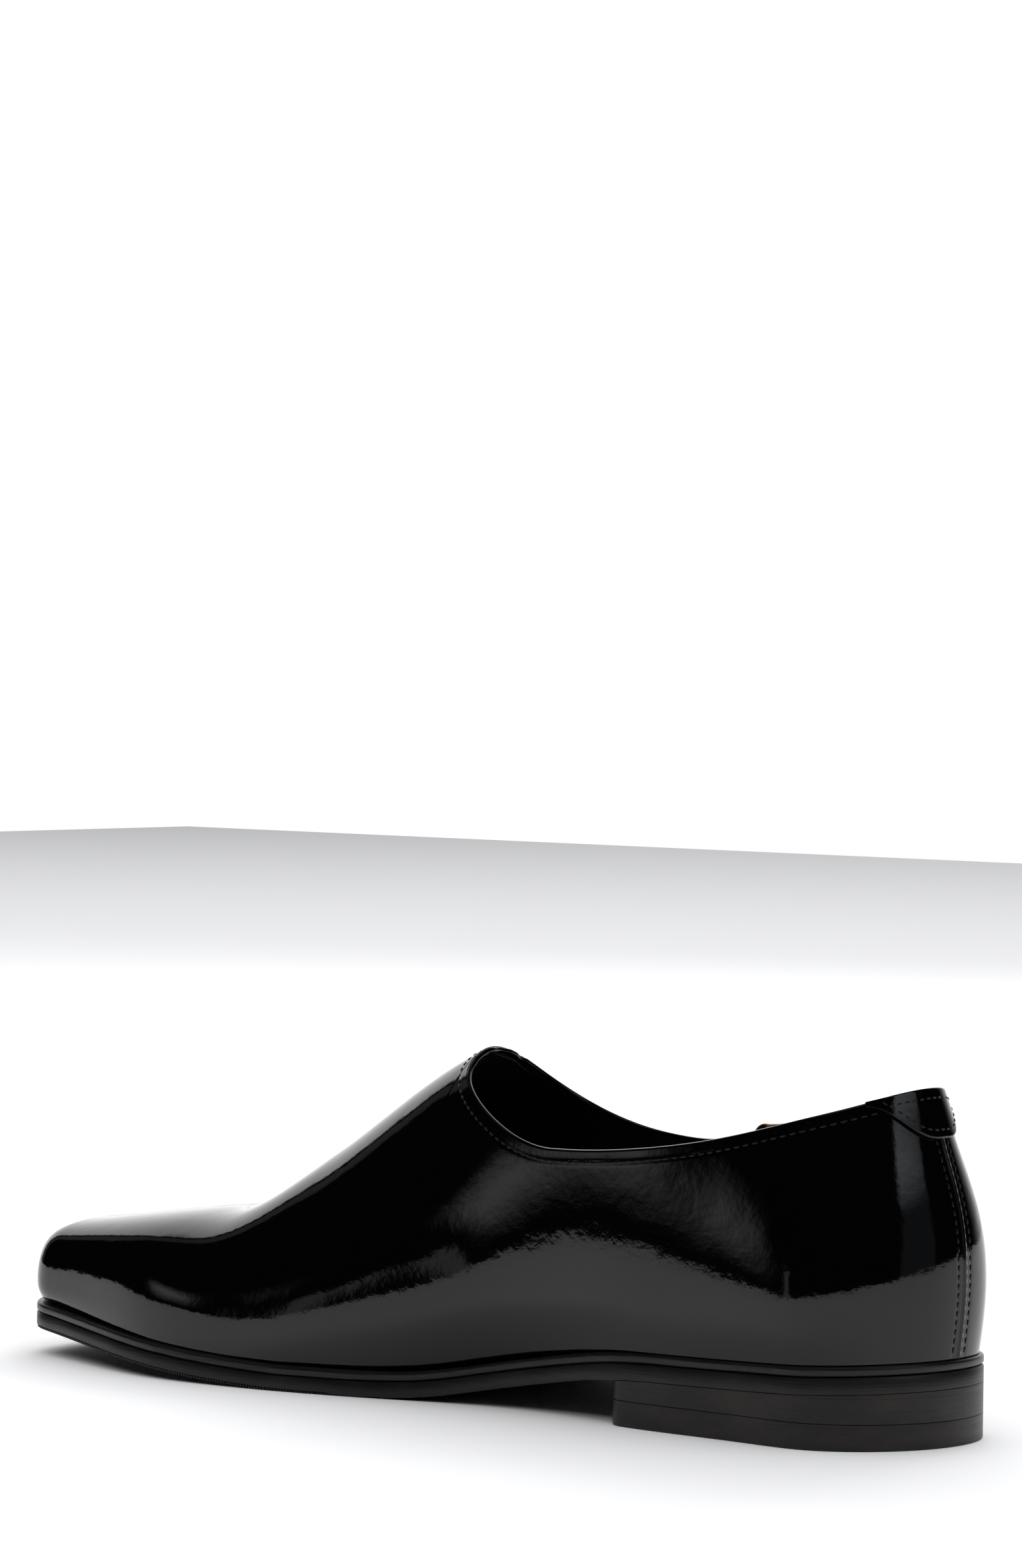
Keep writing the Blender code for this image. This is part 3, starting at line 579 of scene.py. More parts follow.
SECTIONS = table("bulge_height bulge_centre bulge_half ridge_height ridge_centre side_pull top_pull", [
    (0.00, 0.21, 0.070, 0.560, 1.42, 0.12, 0.22, 0.22),
    (0.08, 0.17, 0.000, 0.605, 1.46, 0.01, 0.24, 0.26),
    (0.18, 0.185, 0.008, 0.635, 1.54, 0.00, 0.32, 0.40),
    (0.28, 0.21, 0.030, 0.665, 1.56, 0.00, 0.40, 0.52),
    (0.36, 0.225, 0.055, 0.685, 1.46, 0.00, 0.44, 0.54),
    (0.44, 0.235, 0.065, 0.725, 1.26, 0.00, 0.45, 0.46),
    (0.50, 0.215, 0.055, 0.780, 1.090, -0.02, 0.45, 0.46),
    (0.53, 0.20, 0.050, 0.812, 1.036, -0.025, 0.455, 0.45),
    (0.56, 0.18, 0.042, 0.840, 0.976, -0.03, 0.46, 0.43),
    (0.62, 0.13, 0.030, 0.898, 0.816, -0.05, 0.50, 0.42),
    (0.68, 0.095, 0.015, 0.935, 0.642, -0.07, 0.57, 0.48),
    (0.74, 0.10, -0.010, 0.950, 0.476, -0.08, 0.68, 0.60),
    (0.80, 0.095, -0.035, 0.914, 0.412, -0.09, 0.80, 0.76),
    (0.87, 0.08, -0.062, 0.803, 0.360, -0.10, 0.86, 0.86),
    (0.94, 0.065, -0.090, 0.684, 0.304, -0.11, 0.88, 0.90),
    (1.00, 0.06, -0.115, 0.580, 0.270, -0.12, 0.88, 0.90),
])
BACK_CURVE = table("lean", [
    (0.00, -0.016), (0.17, 0.000), (0.34, 0.006), (0.52, -0.012),
    (0.70, -0.064), (0.84, -0.116), (1.00, -0.172), (1.60, -0.440),
    (2.30, -0.760),
])
TOE_CURVE = table("lean", [
    (0.00, 0.10), (0.50, 0.00), (1.00, 0.07), (1.60, 0.24),
    (2.20, 0.45),
])


def ridge_height(share):
    full = SECTIONS["ridge_height"](share) * INSTEP_HEIGHT
    front = np.clip(1 - (1 - share) / TOE_TIP_ROUND, 0, 1)
    return TOE_TIP_HEIGHT + (full - TOE_TIP_HEIGHT) * (1 - front**TIP_POWER) ** (1 / TIP_POWER)


def bezier(start, start_pull, end_pull, end, t):
    return (start * (1 - t) ** 3 + 3 * start_pull * t * (1 - t) ** 2
            + 3 * end_pull * t**2 * (1 - t) + end * t**3)


def section(share, side):
    """One side of a section of the last, from the feather edge to the ridge."""
    half_width = BALL_WIDTH / 2
    opened = end_rounding(share)
    foot_z = feather(share)
    sole_half = OUTLINE["half"](share) * half_width
    foot_y = OUTLINE["centre"](share) * half_width + side * (sole_half - ledge(share)) * opened
    bulge_y = (SECTIONS["bulge_centre"](share) + side * SECTIONS["bulge_half"](share) * opened) * half_width
    top_rise = ridge_height(share)
    bulge_rise = min(SECTIONS["bulge_height"](share) * INSTEP_HEIGHT, top_rise * BULGE_LIMIT)
    bulge_z = foot_z + bulge_rise
    top_y = SECTIONS["ridge_centre"](share) * half_width
    top_z = foot_z + top_rise
    side_pull = SECTIONS["side_pull"](share)
    top_pull = SECTIONS["top_pull"](share)
    t = np.linspace(0, 1, CURVE_STEPS)
    above_foot = foot_z + bulge_rise * FOOT_UP_PULL
    below_bulge = bulge_z - bulge_rise * BULGE_DOWN_PULL
    low_y = bezier(foot_y, foot_y + (bulge_y - foot_y) * FOOT_OUT_PULL, bulge_y, bulge_y, t)
    low_z = bezier(foot_z, above_foot, below_bulge, bulge_z, t)
    high_y = bezier(bulge_y, bulge_y, top_y + (bulge_y - top_y) * top_pull, top_y, t)
    high_z = bezier(bulge_z, bulge_z + (top_z - bulge_z) * side_pull, top_z, top_z, t)
    y = np.concatenate([low_y, high_y[1:]])
    z = np.concatenate([low_z, high_z[1:]])
    rise = z - foot_z
    near_toe = np.clip(1 - (1 - share) / TOE_REACH, 0, 1) ** 2
    back_lean = BACK_CURVE["lean"](rise / BACK_HEIGHT) * BACK_HEIGHT * smooth(1 - share / BACK_REACH)
    toe_lean = TOE_CURVE["lean"](rise / TOE_TIP_HEIGHT) * TOE_TIP_HEIGHT * near_toe
    return np.stack([x_at(share) + back_lean + toe_lean, y, z], axis=-1)


def lining(name, colour, grain_scale, mottle, depth, smoothest, worn):
    """Soft lining leather with a fine grain. Mottle and wear are each a scale and an amount."""
    finish = Finish(name, colour, smoothest)
    grain = finish.add("ShaderNodeTexVoronoi", {"feature": "SMOOTH_F1"}, {
        "Vector": finish.place, "Scale": grain_scale})
    finish.bump(grain + finish.noise(mottle[0], 3.0) * mottle[1], depth)
    finish.feed("Roughness", smoothest + finish.noise(worn[0], 3.0) * worn[1])
    return finish


sock_finish = lining("sock leather", (0.010, 0.0095, 0.0095), 1500.0, (260.0, 0.8), 0.00007,
                     0.45, (45.0, 0.22))
foot_loop = np.array([section(share, -1)[0, :2] for share in sole_places]
                     + [section(share, 1)[0, :2] for share in sole_places[-2:0:-1]])
sock_loops = [lifted(moved_in(foot_loop, UPPER_WALL + CLEARANCE), feather)]
for inset, turn_up in SOCK_LEVELS:
    sock_inset = UPPER_WALL + CLEARANCE + inset
    sock_loops.append(lifted(moved_in(foot_loop, sock_inset),
                             lambda share: feather(share) + INSOLE_THICKNESS + SOCK_TURN_UP * (turn_up - 1)))
verts, faces = stacked(sock_loops)
make_piece("sock", verts, faces, (sock_finish,), ("insole",), 60)

# Upper: one wholecut of black patent leather, lasted, with its black leather lining inside.
# It closes at the back seam alone. The topline edge is folded over a cord and stitched through,
# which draws a shallow trough along it; the back seam stands up between two rows of stitches.
THROAT = 0.512
INNER_RISE = 0.15
OUTER_RISE = 0.18
RISE_POWER = 2.0
EDGE_ROLL = 0.00085
TOPLINE_ROW = 0.0027
SEAM_ROW = 0.0025
TROUGH_DEPTH = 0.00008
TROUGH_HALF, SEAM_TROUGH_HALF = 0.0006, 0.0005
SEAM_RIDGE = 0.00042
SEAM_RIDGE_HALF = 0.00055
SEAM_REGION = 0.10
SEAM_FADE_START, SEAM_FADE = 0.0005, 0.002
LINING_TROUGH_SHIFT = 0.0004
FOOT_BAND = 0.004
LOW_ROWS = 34
COLUMN_PLACES = (0.44, 0.475, 0.535, 0.565, 0.92, 0.96)
COLUMN_SPACINGS_MM = (1.9, 0.42, 0.42, 1.9, 1.9, 1.1)
SEAM_BAND, SEAM_SPACING = 0.0045, 0.00036
BACK_BAND, BACK_SPACING = 0.02, 0.0011
INNER_TOPLINE = table("height", [
    (0.00, 1.045), (0.03, 1.000), (0.08, 0.945), (0.14, 0.890),
    (0.20, 0.842), (0.28, 0.805), (0.33, 0.816), (0.37, 0.842),
    (0.41, 0.872), (0.45, 0.915), (0.52, 1.030),
])
OUTER_TOPLINE = table("height", [
    (0.00, 1.045), (0.03, 1.000), (0.08, 0.930), (0.14, 0.865),
    (0.20, 0.820), (0.28, 0.800), (0.34, 0.803), (0.40, 0.790),
    (0.44, 0.772), (0.48, 0.785), (0.52, 0.850),
])


def patent(name):
    """Black leather under a clear lacquer film, which is not quite flat: light breaks up at its edges."""
    finish = Finish(name, (0.0010, 0.0010, 0.0012), 0.045, ior=1.50, specular_ior_level=0.40)
    broad = finish.noise(95.0, 2.0)
    peel = finish.noise(620.0, 2.0)
    fine = finish.noise(2300.0, 2.0)
    finish.bump(broad * 0.9 + peel * 0.20 + fine * 0.03, 0.00010)
    finish.feed("Roughness", 0.035 + finish.noise(38.0, 3.0) * 0.03)
    return finish


upper_finish = patent("patent leather")
lining_finish = lining("lining leather", (0.0075, 0.0072, 0.0072), 1700.0, (210.0, 1.0), 0.00006,
                       0.36, (60.0, 0.2))


def topline(share, side):
    """Height of the topline above the welt: low along the quarter, then up to the ridge."""
    line = INNER_TOPLINE if side < 0 else OUTER_TOPLINE
    reach = INNER_RISE if side < 0 else OUTER_RISE
    low = line["height"](share) * BACK_HEIGHT
    along = np.clip((share - THROAT + reach) / reach, 0, 1)
    rise = 1 - (1 - along**RISE_POWER) ** (1 / RISE_POWER)
    return low + (ridge_height(share) - low) * rise


def lengths_along(points):
    """Distance of each point from the first along a line of points."""
    return np.concatenate([[0], np.cumsum(np.linalg.norm(np.diff(points, axis=0), axis=1))])


def points_at(points, along, wanted):
    """Points at wanted distances along a line of points."""
    return np.stack([np.interp(wanted, along, points[:, axis]) for axis in range(3)], axis=-1)


def at_lengths(points, low, high, places):
    """Points of a section between two heights above the welt, at places from 0 to 1 between them."""
    rise = points[:, 2] - points[0, 2]
    along = lengths_along(points)
    start = np.interp(low, rise, along)
    end = np.interp(high, rise, along)
    return points_at(points, along, start + (end - start) * np.asarray(places))


def upper_places():
    """Shares with columns close together where the surface turns fast or a seam needs them."""
    turn = np.linspace(0, np.pi, 6000)
    share = 0.5 - 0.5 * np.cos(turn)
    edge = np.stack([x_at(share), outline_y(share, -1)], axis=-1)
    step = np.linalg.norm(np.diff(edge, axis=0), axis=1)
    along = np.concatenate([[0], np.cumsum(step)])
    spacing = np.interp(share, COLUMN_PLACES, COLUMN_SPACINGS_MM) * 1e-3
    spacing = np.where(along < SEAM_BAND, SEAM_SPACING, spacing)
    by_seam = (along >= SEAM_BAND) & (along < BACK_BAND)
    spacing = np.where(by_seam, np.minimum(spacing, BACK_SPACING), spacing)
    number = np.concatenate([[0], np.cumsum(step / spacing[1:])])
    wanted = np.linspace(0, number[-1], int(number[-1]) + 1)
    return np.interp(wanted, number, share)


near_top = np.array([0, 0.5, 1.0, 1.4, 1.8, 2.2, 2.6, 3.0, 3.4, 3.8, 4.4, 5.2, 6.2, 7.4, 8.8]) * 1e-3


def upper_column(share, side):
    """One column of the upper's surface, its rows close together near the topline."""
    points = section(share, side)
    top = topline(share, side) if share < THROAT else ridge_height(share)
    evenly = at_lengths(points, 0, top, np.linspace(0, 1, 60))
    length = np.linalg.norm(np.diff(evenly, axis=0), axis=1).sum()
    fine = near_top * min(1, length * 0.55 / near_top[-1])
    low = np.linspace(0, length - fine[-1], LOW_ROWS, endpoint=False)
    return at_lengths(points, 0, top, np.concatenate([low, length - fine[::-1]]) / length)


def on_topline(share, side):
    return at_lengths(section(share, side), topline(share, side), topline(share, side), [0])[0]


edge_shares = THROAT * (0.5 - 0.5 * np.cos(np.linspace(0, np.pi, 700)))
edge_line = np.array([on_topline(share, 1) for share in edge_shares]
                     + [on_topline(share, -1) for share in edge_shares[-2:0:-1]])
seam_line = at_lengths(section(0.0, 1), 0, topline(0.0, 1), np.linspace(0, 1, 200))


def nearest_tree(points):
    tree = KDTree(len(points))
    for i, point in enumerate(points):
        tree.insert(Vector(point), i)
    tree.balance()
    return tree


edge_tree = nearest_tree(edge_line)
seam_tree = nearest_tree(seam_line)
places = upper_places()
columns = [upper_column(share, 1) for share in places]
columns += [upper_column(share, -1) for share in places[-2:0:-1]]
rows_count = len(columns[0])
shell = bmesh.new()
grid = [[shell.verts.new(point) for point in column] for column in columns]
for first, second in zip(grid, grid[1:] + grid[:1]):
    for i in range(rows_count - 1):
        shell.faces.new((first[i], second[i], second[i + 1], first[i + 1]))
bmesh.ops.remove_doubles(shell, verts=shell.verts, dist=1e-6)
bmesh.ops.recalc_face_normals(shell, faces=shell.faces)
if sum(face.normal.dot(face.calc_center_median()) * face.calc_area() for face in shell.faces) < 0:
    bmesh.ops.reverse_faces(shell, faces=shell.faces)
shell.normal_update()
plain_surface = BVHTree.FromBMesh(shell)


def bell(distance, centre, width):
    return math.exp(-((distance - centre) / width) ** 2)


def relief(point):
    """How far the leather stands above its plain shape: the trough of the topline row and the seam."""
    from_edge = edge_tree.find(point)[2]
    height = -TROUGH_DEPTH * bell(from_edge, TOPLINE_ROW, TROUGH_HALF)
    if point.x > SEAM_REGION:
        from_seam = seam_tree.find(point)[2]
        fade = float(smooth((from_edge - SEAM_FADE_START) / SEAM_FADE))
        ridge = SEAM_RIDGE * bell(from_seam, 0, SEAM_RIDGE_HALF)
        height += fade * (ridge - TROUGH_DEPTH * bell(from_seam, SEAM_ROW, SEAM_TROUGH_HALF))
    return height


outer_verts = list(shell.verts)
outer_faces = list(shell.faces)
rim = [edge for edge in shell.edges if edge.is_boundary]
at_foot = {vert for edge in rim for vert in edge.verts if vert.co.z < feather(share_at(vert.co.x)) + FOOT_BAND}
normals = {vert: vert.normal.copy() for vert in outer_verts}
inner = {}
for vert in outer_verts:
    normal = normals[vert].copy()
    if vert in at_foot:
        normal.z = 0
        normal.normalize()
    from_edge = edge_tree.find(vert.co)[2]
    inner_trough = TROUGH_DEPTH * bell(from_edge, TOPLINE_ROW + LINING_TROUGH_SHIFT, SEAM_TROUGH_HALF)
    inner[vert] = shell.verts.new(vert.co - normal * (UPPER_WALL - inner_trough))
heights = [relief(vert.co) for vert in outer_verts]
for vert, height in zip(outer_verts, heights):
    vert.co += normals[vert] * height
for face in outer_faces:
    lining_face = shell.faces.new([inner[vert] for vert in reversed(face.verts)])
    lining_face.material_index = 1
for edge in rim:
    first, second = edge.verts
    rim_face = shell.faces.new((first, second, inner[second], inner[first]))
    rim_face.material_index = 0
bmesh.ops.recalc_face_normals(shell, faces=shell.faces)
shell_mesh = bpy.data.meshes.new("wholecut_upper")
shell.to_mesh(shell_mesh)
shell.free()
shell_mesh.materials.append(upper_finish.material)
shell_mesh.materials.append(lining_finish.material)
shell_mesh.shade_smooth()
shell_mesh.set_sharp_from_angle(angle=math.radians(60))
dress(add_object("wholecut_upper", shell_mesh), ("upper",))

# Topline edge: the leather folded over a thin cord, so it ends in a small round roll
# that catches a bright line of light all round the opening.
ROLL_SIDES = 14
ROLL_SPACING = 0.0009


def surface_at(point):
    """The nearest point of the upper's plain surface and its outward normal."""
    place, normal, _, _ = plain_surface.find_nearest(Vector(point))
    return np.array(place), np.array(normal)


def even(points, spacing, closed=False):
    """Points at an even spacing along a line of points."""
    points = np.asarray(points)
    if closed:
        points = np.concatenate([points, points[:1]])
    along = lengths_along(points)
    count = max(2, int(round(along[-1] / spacing)))
    return points_at(points, along, np.linspace(0, along[-1], count + 1)[:-1 if closed else None])


def headings(points, closed=False):
    """Directions along a line of points."""
    if closed:
        return unit(np.roll(points, -1, axis=0) - np.roll(points, 1, axis=0))
    return unit(np.gradient(points, axis=0))


def facings(points):
    """Outward normals of the upper beside a line of points, evened out along it."""
    normal = np.array([surface_at(point)[1] for point in points])
    return unit((normal + np.roll(normal, 1, axis=0) + np.roll(normal, -1, axis=0)) / 3)


def tube_mesh(path, ahead, side_axis, radius, sides, closed):
    """Vertices and faces of a round tube; side_axis says where its first corner points."""
    turn = np.linspace(0, 2 * np.pi, sides, endpoint=False)
    across = unit(side_axis - ahead * np.sum(side_axis * ahead, axis=1)[:, None])
    other = np.cross(ahead, across)
    radius = np.broadcast_to(np.asarray(radius), len(path))
    rings = [point + size * (np.cos(turn)[:, None] * a + np.sin(turn)[:, None] * b)
             for point, size, a, b in zip(path, radius, across, other)]
    count = len(rings)
    tube_faces = ring_faces(count, sides, closed)
    if not closed:
        tube_faces += [tuple(range(sides)), tuple(range((count - 1) * sides, count * sides))]
    return np.concatenate(rings), tube_faces


edge_path = even(edge_line, ROLL_SPACING, closed=True)
edge_facing = facings(edge_path)
edge_ahead = headings(edge_path, closed=True)
roll_path = edge_path - edge_facing * UPPER_WALL / 2
verts, faces = tube_mesh(roll_path, edge_ahead, edge_facing, EDGE_ROLL, ROLL_SIDES, True)
make_piece("topline_roll", verts, faces, (upper_finish,), (), 180)

# Stitches: waxed black thread. One row follows the topline, one runs down each side of the
# back seam. Each stitch is a short thread that dips into its holes and draws the leather down.
TOPLINE_PITCH = 0.0027
SEAM_PITCH = 0.0023
SHORT_STITCH = 0.0016
THREAD_SUNK = 0.55
PATCH_GAP_HALF = 0.0155
SEAM_FIRST, SEAM_LAST = 6, 168
thread_finish = Finish("waxed black thread", (0.0040, 0.0038, 0.0038), 0.34, specular_ior_level=0.3)
thread_finish.bump(thread_finish.noise(5200.0, 2.0), 0.00004)
thread_finish.feed("Roughness", 0.28 + thread_finish.noise(900.0, 1.0) * 0.2)

stitch_tree = new_tree("stitches along a row", ("Pitch", "Length", "Width", "Height"))
maker = NodeMaker(stitch_tree)
row_in, pitch_in, *size_in = maker.inputs("Geometry", "Pitch", "Length", "Width", "Height")
row_curve = maker.add("GeometryNodeMeshToCurve", {}, {"Mesh": row_in})
spaced = maker.add("GeometryNodeResampleCurve", {"mode": "LENGTH"}, {"Curve": row_curve, "Length": pitch_in})
ahead_in = maker.add("GeometryNodeInputTangent")
facing_in = maker.add("GeometryNodeInputNamedAttribute", {"data_type": "FLOAT_VECTOR"}, {"Name": "facing"})
along_row = maker.add("FunctionNodeAlignRotationToVector", {"axis": "X"}, {"Vector": ahead_in})
upright = maker.add("FunctionNodeAlignRotationToVector", {"axis": "Z", "pivot_axis": "X"}, {
    "Rotation": along_row, "Vector": facing_in})
bead = maker.add("GeometryNodeMeshUVSphere", {}, {"Segments": 8, "Rings": 6, "Radius": 0.5})
size = maker.add("ShaderNodeCombineXYZ", {}, dict(zip("XYZ", size_in)))
placed = maker.add("GeometryNodeInstanceOnPoints", {}, {
    "Points": spaced, "Instance": bead, "Rotation": upright, "Scale": size})
soft = maker.add("GeometryNodeSetShadeSmooth", {}, {"Geometry": placed})
close_tree(stitch_tree, maker, soft, thread_finish)


def sew(name, rows, pitch, length=0.0019, width=0.00062, height=0.00052):
    """Rows of stitches as one piece. A row is its points and the leather's normals beside them."""
    carrier_mesh = bpy.data.meshes.new(name)
    points = np.concatenate([row[0] for row in rows])
    edges = []
    start = 0
    for row in rows:
        edges += [(start + i, start + i + 1) for i in range(len(row[0]) - 1)]
        start += len(row[0])
    carrier_mesh.from_pydata([tuple(point) for point in points], edges, [])
    facing = carrier_mesh.attributes.new("facing", "FLOAT_VECTOR", "POINT")
    facing.data.foreach_set("vector", np.concatenate([row[1] for row in rows]).astype(np.float32).ravel())
    carrier = add_object(name, carrier_mesh)
    grow(carrier, stitch_tree, {"Pitch": pitch, "Length": length, "Width": width, "Height": height})
    return dress(carrier)


def beside(path, facing, ahead, distance, lift):
    """A row on the upper at a distance beside a line, to its right as seen from outside."""
    shifted = path + np.cross(ahead, facing) * distance
    snapped = [surface_at(point) for point in shifted]
    normal = np.array([item[1] for item in snapped])
    return np.array([item[0] for item in snapped]) + normal * lift, normal


below = -np.sign(np.mean(np.cross(edge_ahead, edge_facing)[:, 2]))
topline_row = beside(edge_path, edge_facing, edge_ahead, below * TOPLINE_ROW, -TROUGH_DEPTH * THREAD_SUNK)
from_middle = np.abs(edge_path[:, 1] - seam_line[-1, 1])
along_back = (edge_path[:, 0] > SEAM_REGION) & (from_middle < PATCH_GAP_HALF)
order = np.roll(np.arange(len(edge_path)), -int(np.argmax(along_back & ~np.roll(along_back, -1))) - 1)
kept = [i for i in order if not along_back[i]]
sew("topline_stitches", [(topline_row[0][kept], topline_row[1][kept])], TOPLINE_PITCH)

seam_rows = []
seam_path = even(seam_line[SEAM_FIRST:SEAM_LAST], 0.001)
seam_ahead = headings(seam_path)
for side in (-1, 1):
    seam_facing = np.tile([1.0, 0.0, 0.0], (len(seam_path), 1))
    seam_rows.append(beside(seam_path, seam_facing, seam_ahead, side * SEAM_ROW, -TROUGH_DEPTH * 0.5))
sew("back_seam_stitches", seam_rows, SEAM_PITCH, SHORT_STITCH)

# Back strap: a small patch of the same leather over the top of the back seam, which carries
# the strain when the shoe is pulled on. It is skived thin and stitched round its lower edge.
PATCH_REACH = 0.034
PATCH_THICKNESS = 0.0012
PATCH_ROUND = 0.0005
PATCH_TOP_TURN = 0.0006
PATCH_SPREAD = 0.93
PATCH_COLUMNS, PATCH_ROWS = 75, 16
PATCH_ROW, PATCH_PITCH = 0.0022, 0.0022
LOW_ROW_ENDS, TOP_ROW_ENDS = 9, 12
PATCH = table("depth", [
    (0.00, 0.186), (0.25, 0.183), (0.45, 0.165), (0.65, 0.125),
    (0.83, 0.070), (1.00, 0.008),
])


def grid_normals(surface):
    """Outward unit normals of a grid of points on the upper."""
    normal = unit(np.cross(np.gradient(surface, axis=0), np.gradient(surface, axis=1)))
    outward = np.sign(np.sum(normal * (surface - (0, 0, INSTEP_HEIGHT / 2)), axis=-1).mean())
    return normal * outward


def overlay(surface, lift, thickness, edge_round):
    """A sheet on a grid of surface points, its outer edges rounded over."""
    normal = grid_normals(surface)
    lift = np.broadcast_to(np.asarray(lift, float)[..., None], surface.shape)
    layers = [surface + normal * lift]
    for angle in np.radians([0, 30, 60, 90]):
        inset = edge_round * (1 - math.sin(math.pi / 2 - angle))
        height = thickness - edge_round * (1 - math.sin(angle))
        layer = (surface + normal * (lift + height)).copy()
        for edge, inward in ((np.s_[0, :], np.s_[1, :]), (np.s_[-1, :], np.s_[-2, :]),
                             (np.s_[:, 0], np.s_[:, 1]), (np.s_[:, -1], np.s_[:, -2])):
            step = layer[inward] - layer[edge]
            size = np.maximum(np.linalg.norm(step, axis=-1, keepdims=True), 1e-7)
            layer[edge] += step / size * np.minimum(inset, size * 0.8)
        layers.append(layer)
    rows_n, columns_n = surface.shape[:2]
    ring = [(i, 0) for i in range(rows_n)] + [(rows_n - 1, j) for j in range(1, columns_n)]
    ring += [(i, columns_n - 1) for i in range(rows_n - 2, -1, -1)]
    ring += [(0, j) for j in range(columns_n - 2, 0, -1)]
    sheet_verts = []
    sheet_faces = []
    for layer in (layers[0], layers[-1]):
        base = len(sheet_verts)
        sheet_verts.extend(layer.reshape(-1, 3))
        for i in range(rows_n - 1):
            for j in range(columns_n - 1):
                a = base + i * columns_n + j
                sheet_faces.append((a, a + 1, a + columns_n + 1, a + columns_n))
    sheet_faces += ring_faces(len(layers), len(ring), start=len(sheet_verts))
    for layer in layers:
        sheet_verts.extend(layer[i, j] for i, j in ring)
    return np.array(sheet_verts), sheet_faces


patch_finish = patent("patch leather")
patch_grid = []
for place in np.sin(np.linspace(-np.pi / 2, np.pi / 2, PATCH_COLUMNS) * PATCH_SPREAD):
    side = -1 if place < 0 else 1
    share = PATCH_REACH * (1 - np.sqrt(1 - place**2))
    top = topline(share, side)
    patch_low = top - PATCH["depth"](abs(place)) * BACK_HEIGHT
    patch_high = top + PATCH_TOP_TURN
    patch_grid.append(at_lengths(section(share, side), patch_low, patch_high, np.linspace(0, 1, PATCH_ROWS)))
patch_grid = np.array(patch_grid)
verts, faces = overlay(patch_grid, CLEARANCE / 2, PATCH_THICKNESS, PATCH_ROUND)
make_piece("back_patch", verts, faces, (patch_finish,), ("back_strap",), 180)

patch_normals = grid_normals(patch_grid)


def inside_edge(line, inner_line, distance):
    """A line moved from a sheet's edge towards its inside."""
    return line + unit(inner_line - line) * distance


def patch_line(ends, edge, far_edge, facing_at, distance):
    """A row of stitches beside one edge of the patch, stopping short of its ends."""
    inside = slice(ends, -ends)
    row = inside_edge(patch_grid[inside, edge], patch_grid[inside, far_edge], distance)
    facing = patch_normals[inside, facing_at]
    return row + facing * (CLEARANCE / 2 + PATCH_THICKNESS), facing


patch_rows = [patch_line(LOW_ROW_ENDS, 0, -1, 3, PATCH_ROW),
              patch_line(TOP_ROW_ENDS, -1, 0, -3, PATCH_ROW + PATCH_TOP_TURN)]
sew("patch_stitches", patch_rows, PATCH_PITCH, SHORT_STITCH)

# Side strap: a strap of the same leather, lined and turned in, sewn down beside the throat.
# It lies over the outer quarter, passes under the buckle's frame and over its bar, and ends in
# a rounded tip. It has a row of stitches near each edge and three punched holes.
STRAP_WIDTH = 0.022
STRAP_THICKNESS = 0.0016
TAB_WIDTH = 0.017
TAB_LENGTH = 0.0132
TAB_THICKNESS = 0.0012
TAB_ROUND = 0.0004
TAB_GAP = 0.0014
BUCKLE_LENGTH = 0.024
BUCKLE_HEIGHT = 0.0316
BUCKLE_RAIL = 0.0030
BUCKLE_GAUGE = 0.0022
BUCKLE_CORNER = 0.0045
BAR_GAUGE = 0.0016
PRONG_GAUGE = 0.0013
PRONG_HOLE = 0.0030
PRONG_REACH = 0.0042
HUMP_REACH = 0.0072
BUCKLE_PLACE = 0.276
STRAP_FRONT = 0.470
STRAP_TIP = 0.168
STRAP_ROW = 0.0021
STRAP_ROUND = 0.0006
STRAP_COLUMNS, STRAP_ROWS, TIP_COLUMNS = 110, 25, 16
HOLE_PITCH = 0.0085
HOLE_COUNT = 3
STRAP = table("drop width", [
    (0.168, 0.80, 0.35), (0.176, 0.58, 0.72), (0.190, 0.42, 0.94),
    (0.215, 0.26, 0.99), (0.262, 0.07, 1.00), (0.320, 0.05, 1.04),
    (0.380, 0.05, 1.20), (0.430, 0.06, 1.40), (0.470, 0.10, 1.55),
])


def on_quarter(share, height):
    """A point of the upper's outer side at a height above the welt."""
    return at_lengths(section(share, 1), height, height, [0])[0]


def strap_middle():
    """Height above the welt of the strap's middle at the buckle."""
    drop = STRAP["drop"](BUCKLE_PLACE) + STRAP["width"](BUCKLE_PLACE) / 2
    return topline(BUCKLE_PLACE, 1) - drop * STRAP_WIDTH


def buckle_axes():
    """The buckle's centre on the quarter, and its directions along, up and out."""
    height = strap_middle()
    step = BUCKLE_LENGTH / SOLE_LENGTH / 4
    centre = on_quarter(BUCKLE_PLACE, height)
    along = on_quarter(BUCKLE_PLACE + step, height) - on_quarter(BUCKLE_PLACE - step, height)
    along /= np.linalg.norm(along)
    rise = STRAP_WIDTH / 4
    up = on_quarter(BUCKLE_PLACE, height + rise) - on_quarter(BUCKLE_PLACE, height - rise)
    up -= along * np.dot(up, along)
    up /= np.linalg.norm(up)
    out = np.cross(along, up)
    return centre, along, up, out * np.sign(out[1])


buckle_centre, buckle_along, buckle_up, buckle_out = buckle_axes()


def strap_lift(share, points):
    """Distance of the strap's inner face from the quarter: over the straight bar and the tab."""
    behind_bar = (BUCKLE_PLACE - share) * SOLE_LENGTH
    near = np.clip(np.abs(behind_bar) / HUMP_REACH, 0, 1)
    fall = np.maximum((buckle_centre - points) @ buckle_out, 0)
    over_bar = (BAR_GAUGE + 2 * CLEARANCE + fall) * np.cos(near * np.pi / 2) ** 2
    past_tab = np.clip((behind_bar - TAB_GAP - TAB_LENGTH) / HUMP_REACH, 0, 1)
    over_tab = (TAB_THICKNESS + CLEARANCE) * np.cos(past_tab * np.pi / 2) ** 2 * (behind_bar > 0)
    return CLEARANCE + np.maximum(over_bar, over_tab)


